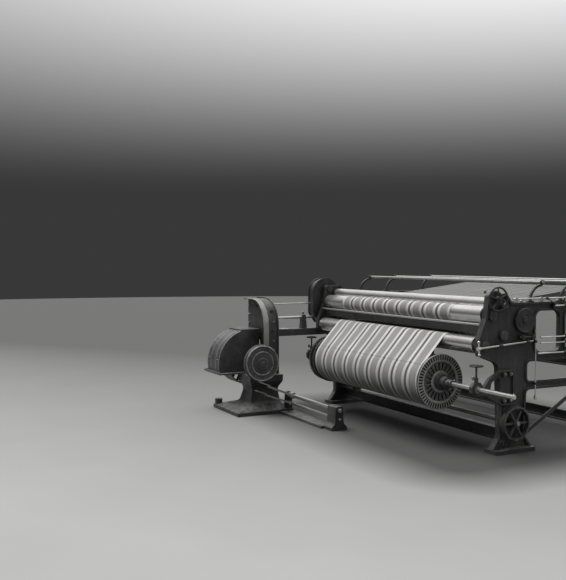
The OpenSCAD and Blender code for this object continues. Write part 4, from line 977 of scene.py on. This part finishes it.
class HEADSTOCK_OT_guard_fittings(bpy.types.Operator):
    """Beads and rivets of the pulley cover, edges of the tray, studs of the disc guard"""

    bl_idname = "headstock.guard_fittings"
    bl_label = "Guard Fittings"

    def execute(self, context):
        cover_low, cover_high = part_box("pulley_cover")
        axis = middle_of("drive_shaft", 0)
        radius = axis.y - cover_low.y
        foot = math.pi + math.asin((axis.z - cover_low.z) / radius) - 0.02
        edges = []
        for x in (cover_low.x + 0.008, cover_low.x + 0.1, cover_high.x - 0.1, cover_high.x - 0.008):
            centre = axis + Vector((x, 0, 0))
            arc = arc_points(centre, radius - WIRE_R + 0.001, foot, math.pi / 2 + 0.3, 36)
            edges.append(tube("bead", arc, WIRE_R, 8))
        guard_low, guard_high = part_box("disc_guard")
        middle = middle_of("disc_guard", guard_high.x + PROBE)
        rim = (guard_high.z - guard_low.z) / 2
        for share in DISC_RINGS:
            seen = touch("disc_guard", middle + Vector((0, 0, rim * share)), (-1, 0, 0))
            centre = Vector((seen.x, middle.y, middle.z))
            arc = arc_points(centre, rim * share, 0, math.tau, 64)
            edges.append(tube("ring", arc, WIRE_R, 8))
        low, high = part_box("pulley_tray")
        top = touch("pulley_tray", Vector((high.x - 0.02, low.y + 0.012, ABOVE)), (0, 0, -1)).z
        strips = [("front_strip", (low.x + 0.002, low.y + 0.0005, top - 0.001),
                   (high.x - 0.002, low.y + 0.014, top + 0.006)),
                  ("side_strip", (high.x - 0.014, low.y + 0.014, top - 0.001),
                   (high.x - 0.0005, high.y - 0.2, top + 0.006))]
        low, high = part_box("bridge")
        top = touch("bridge", Vector((high.x - 0.06, low.y + 0.1, ABOVE)), (0, 0, -1)).z
        strips.append(("bridge_plate", (low.x + 0.004, low.y + 0.006, top - 0.0005),
                       (high.x - 0.004, low.y + 0.2, top + 0.005)))
        edges += [rounded_block(*strip) for strip in strips]
        # The pale strips and beads are worn metal and also a painted highlight along the edges
        settle(joined("guard_edges", edges), "frame", "sheet_metal", "rubbed_edge")
        studs = []
        for start, way in ring_of(middle, rim * DISC_STUDS, 8, (1, 0, 0), 0.2):
            studs.append((touch("disc_guard", start, (-1, 0, 0)), way))
        for x in (cover_low.x + 0.05, cover_high.x - 0.05):
            for turn in map(math.radians, COVER_STUD_ANGLES):
                out = Vector((0, math.cos(turn), math.sin(turn)))
                start = axis + Vector((x, 0, 0)) + out * (radius + PROBE)
                studs.append((touch("pulley_cover", start, -out), out))
        fasten("guard_studs", hex_bolt("stud", 0.013, 0.006), studs)
        return {"FINISHED"}


class HEADSTOCK_OT_beam_fittings(bpy.types.Operator):
    """Set screws of the beam collars and the cross pin in the shaft"""

    bl_idname = "headstock.beam_fittings"
    bl_label = "Beam Fittings"

    def execute(self, context):
        screws = []
        for x in COLLAR_SCREWS:
            for turn in COLLAR_TURNS:
                out = Vector((0, math.cos(turn), math.sin(turn)))
                start = spot(x, 0, BEAM_Z) + out * PROBE
                screws.append((touch("beam_collars", start, -out), out))
        fasten("collar_screws", hex_bolt("set_screw", 0.016, 0.012), screws, "warp_beam")
        pin = turned("cross_pin", CROSS_PIN, 16)
        lay_on(pin, spot(beam_high.x - 0.025, 0, BEAM_Z), (0, 0.5, 0.87))
        settle(pin, "warp_beam", "steel", "steel")
        return {"FINISHED"}


class HEADSTOCK_OT_side_rods(bpy.types.Operator):
    """Rods and their eyes along the outside of the right frame, and nuts on its top"""

    bl_idname = "headstock.side_rods"
    bl_label = "Side Rods"

    def execute(self, context):
        rods, eyes = [], []
        for x, z, start, end, radius in SIDE_RODS:
            rods.append(tube("rod", [spot(x, start, z), spot(x, end, z)], radius, 12))
            for y in FRAME_POSTS:
                stand = touch("right_side_frame", spot(x + PROBE, y, z), (-1, 0, 0))
                eye = turned("eye", [(-0.011, radius + 0.004), (-0.01, radius + 0.008),
                                     (0.01, radius + 0.008), (0.011, radius + 0.004)], 20)
                lay_on(eye, spot(x, y, z), (0, 1, 0))
                leg = rounded_block("leg", spot(stand.x - 0.001, y - 0.006, z - 0.011),
                                    spot(x, y + 0.006, z + 0.011))
                eyes += [eye, leg]
        settle(joined("side_rods", rods), "frame", "steel", "steel")
        settle(joined("rod_eyes", eyes), "frame", "frame_iron", "clean_iron")
        nuts = []
        for x, y in FRAME_TOP_NUTS:
            top = touch("right_side_frame", spot(x, y, ABOVE), (0, 0, -1))
            nuts.append((top, (0, 0, 1), y * 9))
        fasten("frame_top_nuts", hex_bolt("top_nut", 0.024, 0.016), nuts)
        levers = []
        for y, z, reach, angle in SIDE_LEVERS:
            foot = touch("right_side_frame", spot(RIM_OUT + PROBE, y, z), (-1, 0, 0))
            levers.append(lay_on(turned("ratchet", RATCHET, 32), foot, (1, 0, 0)))
            way = Vector((0, math.cos(angle), math.sin(angle)))
            start = foot + Vector((0.034, 0, 0))
            levers.append(tube("lever", [start, start + way * reach], 0.0055, 12))
            levers.append(lay_on(turned("knob", KNOB, 16), start + way * reach, way))
        settle(joined("side_levers", levers), "frame", "worn_iron", "worn_iron")
        return {"FINISHED"}


# Lint

# How many tufts of lint lie on each place, and how many strands hang
WHEEL_TUFTS = 90
FOOT_TUFTS = 110
LEDGE_TUFTS = 60
STRANDS = 26
# X outside of the right frame
OUTSIDE = 1.8


def tuft(draw, at, size):
    """One soft lump of fluff of about the given half sizes."""
    deselect()
    bpy.ops.mesh.primitive_ico_sphere_add(subdivisions=2, radius=1.0)
    lump = newest("tuft")
    for vertex in lump.data.vertices:
        swell = draw.uniform(0.7, 1.15)
        vertex.co = Vector(c * s * swell for c, s in zip(vertex.co, size)) + at
    return lump


class HEADSTOCK_OT_lint(bpy.types.Operator):
    """Fluff caught on the low wheel and the right foot, and strands that hang above them"""

    bl_idname = "headstock.lint"
    bl_label = "Lint"

    def execute(self, context):
        draw = random.Random(7)
        wheel_low, wheel_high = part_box("low_wheel")
        middle = middle_of("low_wheel", wheel_high.x)
        rim = (wheel_high.z - wheel_low.z) / 2
        # Round the rim of the low wheel
        tufts = []
        for _ in range(WHEEL_TUFTS):
            angle = draw.gauss(0.9, 1.3)
            reach = rim * draw.uniform(0.9, 0.975)
            at = middle + reach * Vector((0, math.cos(angle), math.sin(angle)))
            size = draw.uniform(0.002, 0.007)
            tufts.append(tuft(draw, at, (0.002, size, size * 1.4)))
        settle(joined("wheel_lint", tufts), "low", None, "lint", 60)
        # On the outside of the foot, where the wheel doesn't hide it
        tufts = []
        for _ in range(FOOT_TUFTS):
            start = spot(OUTSIDE, draw.uniform(0.28, 0.64), draw.uniform(0.06, 0.3))
            if (start - Vector((start.x, middle.y, middle.z))).length < rim + 0.012:
                continue
            found = seen_from("right_side_frame", start, (-1, 0, 0))
            if found:
                tufts.append(tuft(draw, found, (0.002, 0.0028, draw.uniform(0.006, 0.03))))
        # On the ledges of the foot, and none on the floor
        for _ in range(LEDGE_TUFTS):
            start = spot(draw.uniform(1.33, 1.47), draw.uniform(0.22, 0.64), 0.2)
            found = seen_from("right_side_frame", start, (0, 0, -1))
            if found and found.z > 0.01:
                tufts.append(tuft(draw, found, (0.008, 0.007, 0.0025)))
        # Strands that hang from the arm and the frame
        for _ in range(STRANDS):
            y = draw.choice((draw.gauss(0.2, 0.1), draw.gauss(0.6, 0.04)))
            top = seen_from("right_beam_arm", spot(ARM_OUT - 0.01, y, 0.2), (0, 0, 1))
            if top is None:
                top = seen_from("right_side_frame", spot(OUTSIDE, y, 0.5), (-1, 0, 0))
            if top:
                drop = draw.uniform(0.04, 0.19)
                sway = Vector((draw.uniform(0, 0.006), draw.gauss(0, 0.004), -drop / 2))
                tail = Vector((0.002, draw.gauss(0, 0.006), -drop))
                tufts.append(tube("strand", [top, top + sway, top + tail], 0.0013, 4))
        settle(joined("foot_lint", tufts), "frame", None, "lint", 60)
        return {"FINISHED"}


# Surfaces of the castings and shafts

# Widest angle, in degrees, over which a casting's faces shade as one
CASTING_ANGLE = 28
# Pieces whose finish isn't the one that their slot names
NODE_FINISHES = {
    "clean_iron": ("low_wheel", "drive_pulleys", "beam_collars"),
    "flange_iron": ("right_flange", "left_flange"),
    "strap_steel": ("case_strap",),
    "sheet_metal": ("disc_guard", "bridge"),
    "worn_iron": ("right_cap_screw", "left_cap_screw"),
    "dull_steel": ("low_shaft", "drive_shaft"),
}
# Slot and finish of each piece, filled in by the operator below
SURFACES = {}


class HEADSTOCK_OT_surfaces(bpy.types.Operator):
    """Gives every casting, shaft and cover its finish"""

    bl_idname = "headstock.surfaces"
    bl_label = "Surfaces"

    def execute(self, context):
        by_node = {node: finish for finish, nodes in NODE_FINISHES.items() for node in nodes}
        for node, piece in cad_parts.items():
            slot_name = piece.material_slots[0].material.name.split(".")[0]
            finish = by_node.get(node, slot_name)
            SURFACES[node] = (slot_name, finish)
            for place in piece.material_slots:
                place.material = FINISHES[finish]
            pick(piece)
            bpy.ops.object.shade_smooth_by_angle(angle=math.radians(CASTING_ANGLE))
        return {"FINISHED"}


# Cases with wide round corners, which only shade round once their faces share points
ROUND_CASES = ("case_strap", "gear_case", "worm_case", "disc_cover", "pulley_cover")
SAME_POINT = 0.00001


class HEADSTOCK_OT_round_cases(bpy.types.Operator):
    """Gives the cases, covers and the strap smooth round corners"""

    bl_idname = "headstock.round_cases"
    bl_label = "Round Cases"

    def execute(self, context):
        for node in ROUND_CASES:
            case = copy_of(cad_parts[node])
            case.name = f"{node}_rounded"
            case.parent = None
            pick(case)
            bpy.ops.mesh.customdata_custom_splitnormals_clear()
            bpy.ops.object.mode_set(mode="EDIT")
            bpy.ops.mesh.select_all(action="SELECT")
            bpy.ops.mesh.remove_doubles(threshold=SAME_POINT)
            bpy.ops.object.mode_set(mode="OBJECT")
            settle(case, "frame", *SURFACES[node], CASTING_ANGLE)
            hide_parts(node)
        return {"FINISHED"}


# Stage

FLOOR_REACH = 30.0
# Half the width of the band in which the painted shade on the floor fades from dark to pale
FLOOR_FADE = 5.0
# Middle and half size, along X and Y, of the painted shadow on the floor under and round the
# machine
FLOOR_PAINTED_SHADOW = (("X", 0.125, 1.475), ("Y", 0.45, 1.1))
# Height of the camera's picture, in millimetres
SENSOR = 36


class HEADSTOCK_OT_stage(bpy.types.Operator):
    """Camera at the picture's place, pale floor and soft light from the roof"""

    bl_idname = "headstock.stage"
    bl_label = "Stage"

    def execute(self, context):
        stage = context.scene.headstock_stage
        deselect()
        bpy.ops.object.camera_add(location=stage.camera_place)
        camera = bpy.context.object
        camera.name = "camera"
        turn, dip = stage.camera_turn, stage.camera_dip
        aim = Vector((-math.cos(turn) * math.cos(dip), math.sin(turn) * math.cos(dip),
                      -math.sin(dip)))
        camera.rotation_mode = "QUATERNION"
        camera.rotation_quaternion = aim.to_track_quat("-Z", "Y")
        camera.data.lens = stage.lens
        camera.data.sensor_width = SENSOR
        camera.data.clip_end = 200
        context.scene.camera = camera
        context.scene.view_settings.view_transform = "Standard"

        deselect()
        bpy.ops.mesh.primitive_circle_add(vertices=96, radius=FLOOR_REACH, fill_type="NGON")
        floor = newest("floor")
        s = Shading("floor")
        colour = stage.floor_colour
        cloud = s.blend(s.noise(0.9, 5, 0.5), scaled(colour, 0.94), scaled(colour, 1.06))
        # Painted shade: the floor darkens towards the back and the left of the hall
        near = s.sums("SUBTRACT", s.sums("MULTIPLY", s.axis("X"), 0.7), s.axis("Y"))
        near = s.sums("MULTIPLY", s.sums("ADD", near, FLOOR_FADE), 0.5 / FLOOR_FADE)
        cloud = s.blend(s.ramp(near, [(0.0, 0.0), (1.0, 1.0)]), scaled(colour, 0.3), cloud)
        # Painted shadow: the floor darkens within about a metre of the machine's plan
        past = []
        for axis, middle, half in FLOOR_PAINTED_SHADOW:
            off = s.sums("ABSOLUTE", s.sums("SUBTRACT", s.axis(axis), middle))
            past.append(s.sums("MAXIMUM", s.sums("SUBTRACT", off, half)))
        reach = s.add("ShaderNodeCombineXYZ", {0: past[0], 1: past[1]}).outputs[0]
        reach = s.add("ShaderNodeVectorMath", {0: reach}, operation="LENGTH").outputs["Value"]
        floor_painted_shadow = s.ramp(reach, [(0.18, 1.0), (0.85, 0.0)])
        cloud = s.blend(floor_painted_shadow, cloud, scaled(colour, 0.2))
        # What the floor throws back on the machine is darker than what the camera sees
        rays = s.add("ShaderNodeLightPath").outputs
        seen = s.sums("MAXIMUM", rays["Is Camera Ray"], rays["Is Glossy Ray"])
        pale = s.blend(seen, tuple(stage.floor_bounce), cloud)
        floor.data.materials.append(s.finish(pale, 0.9, Specular_IOR_Level=0.2))

        deselect()
        bpy.ops.object.light_add(type="SUN", location=(0, 0, 6))
        lamp = bpy.context.object
        lamp.name = "roof_light"
        lamp.data.energy = stage.roof_light
        lamp.data.angle = stage.light_spread
        lamp.rotation_mode = "QUATERNION"
        lamp.rotation_quaternion = Vector(stage.roof_way).to_track_quat("-Z", "Y")

        world = context.scene.world or bpy.data.worlds.new("sky")
        context.scene.world = world
        world.use_nodes = True
        n = Nodes(world.node_tree)
        way = n.add("ShaderNodeSeparateXYZ", {0: n.coordinates.outputs["Generated"]}).outputs
        roof = n.ranged(way["Z"], (0.08, 0.45), (0.0, stage.roof_windows), "SMOOTHSTEP")
        # The windows lie towards the far end of the rollers and behind the machine
        far = n.ranged(way["X"], (-1.0, 1.0), (1.0, 0.5))
        behind = n.ranged(way["Y"], (-0.5, 1.0), (0.12, 1.0))
        roof = n.sums("MULTIPLY", roof, n.sums("MULTIPLY", far, behind))
        background = n.tree.nodes["Background"]
        background.inputs["Color"].default_value = (1, 1, 1, 1)
        n.feed(background.inputs["Strength"], n.sums("ADD", roof, stage.backdrop))
        return {"FINISHED"}


class HEADSTOCK_PT_pieces(bpy.types.Panel):
    """Lists the headstock's pieces"""

    bl_label = "Headstock"
    bl_idname = "HEADSTOCK_PT_pieces"
    bl_space_type = "VIEW_3D"
    bl_region_type = "UI"
    bl_category = "Headstock"

    def draw(self, context):
        for operator in OPERATORS:
            self.layout.operator(operator.bl_idname)


OPERATORS = [
    HEADSTOCK_OT_stage,
    HEADSTOCK_OT_surfaces,
    HEADSTOCK_OT_warp_sheet,
    HEADSTOCK_OT_wound_warp,
    HEADSTOCK_OT_bolts,
    HEADSTOCK_OT_bearing_caps,
    HEADSTOCK_OT_case_fittings,
    HEADSTOCK_OT_guard_fittings,
    HEADSTOCK_OT_beam_fittings,
    HEADSTOCK_OT_side_rods,
    HEADSTOCK_OT_lint,
    HEADSTOCK_OT_round_cases,
]
GROUPS = {"headstock_warp": WarpSettings, "headstock_surfaces": SurfaceSettings,
          "headstock_stage": StageSettings}


def register():
    for group in GROUPS.values():
        bpy.utils.register_class(group)
    for name, group in GROUPS.items():
        setattr(bpy.types.Scene, name, bpy.props.PointerProperty(type=group))
    for operator in OPERATORS:
        bpy.utils.register_class(operator)
    bpy.utils.register_class(HEADSTOCK_PT_pieces)


def unregister():
    bpy.utils.unregister_class(HEADSTOCK_PT_pieces)
    for operator in reversed(OPERATORS):
        bpy.utils.unregister_class(operator)
    for name in GROUPS:
        delattr(bpy.types.Scene, name)
    for group in GROUPS.values():
        bpy.utils.unregister_class(group)


def main():
    register()
    make_finishes()
    for operator in OPERATORS:
        group, name = operator.bl_idname.split(".")
        getattr(getattr(bpy.ops, group), name)()


if __name__ == "__main__":
    main()
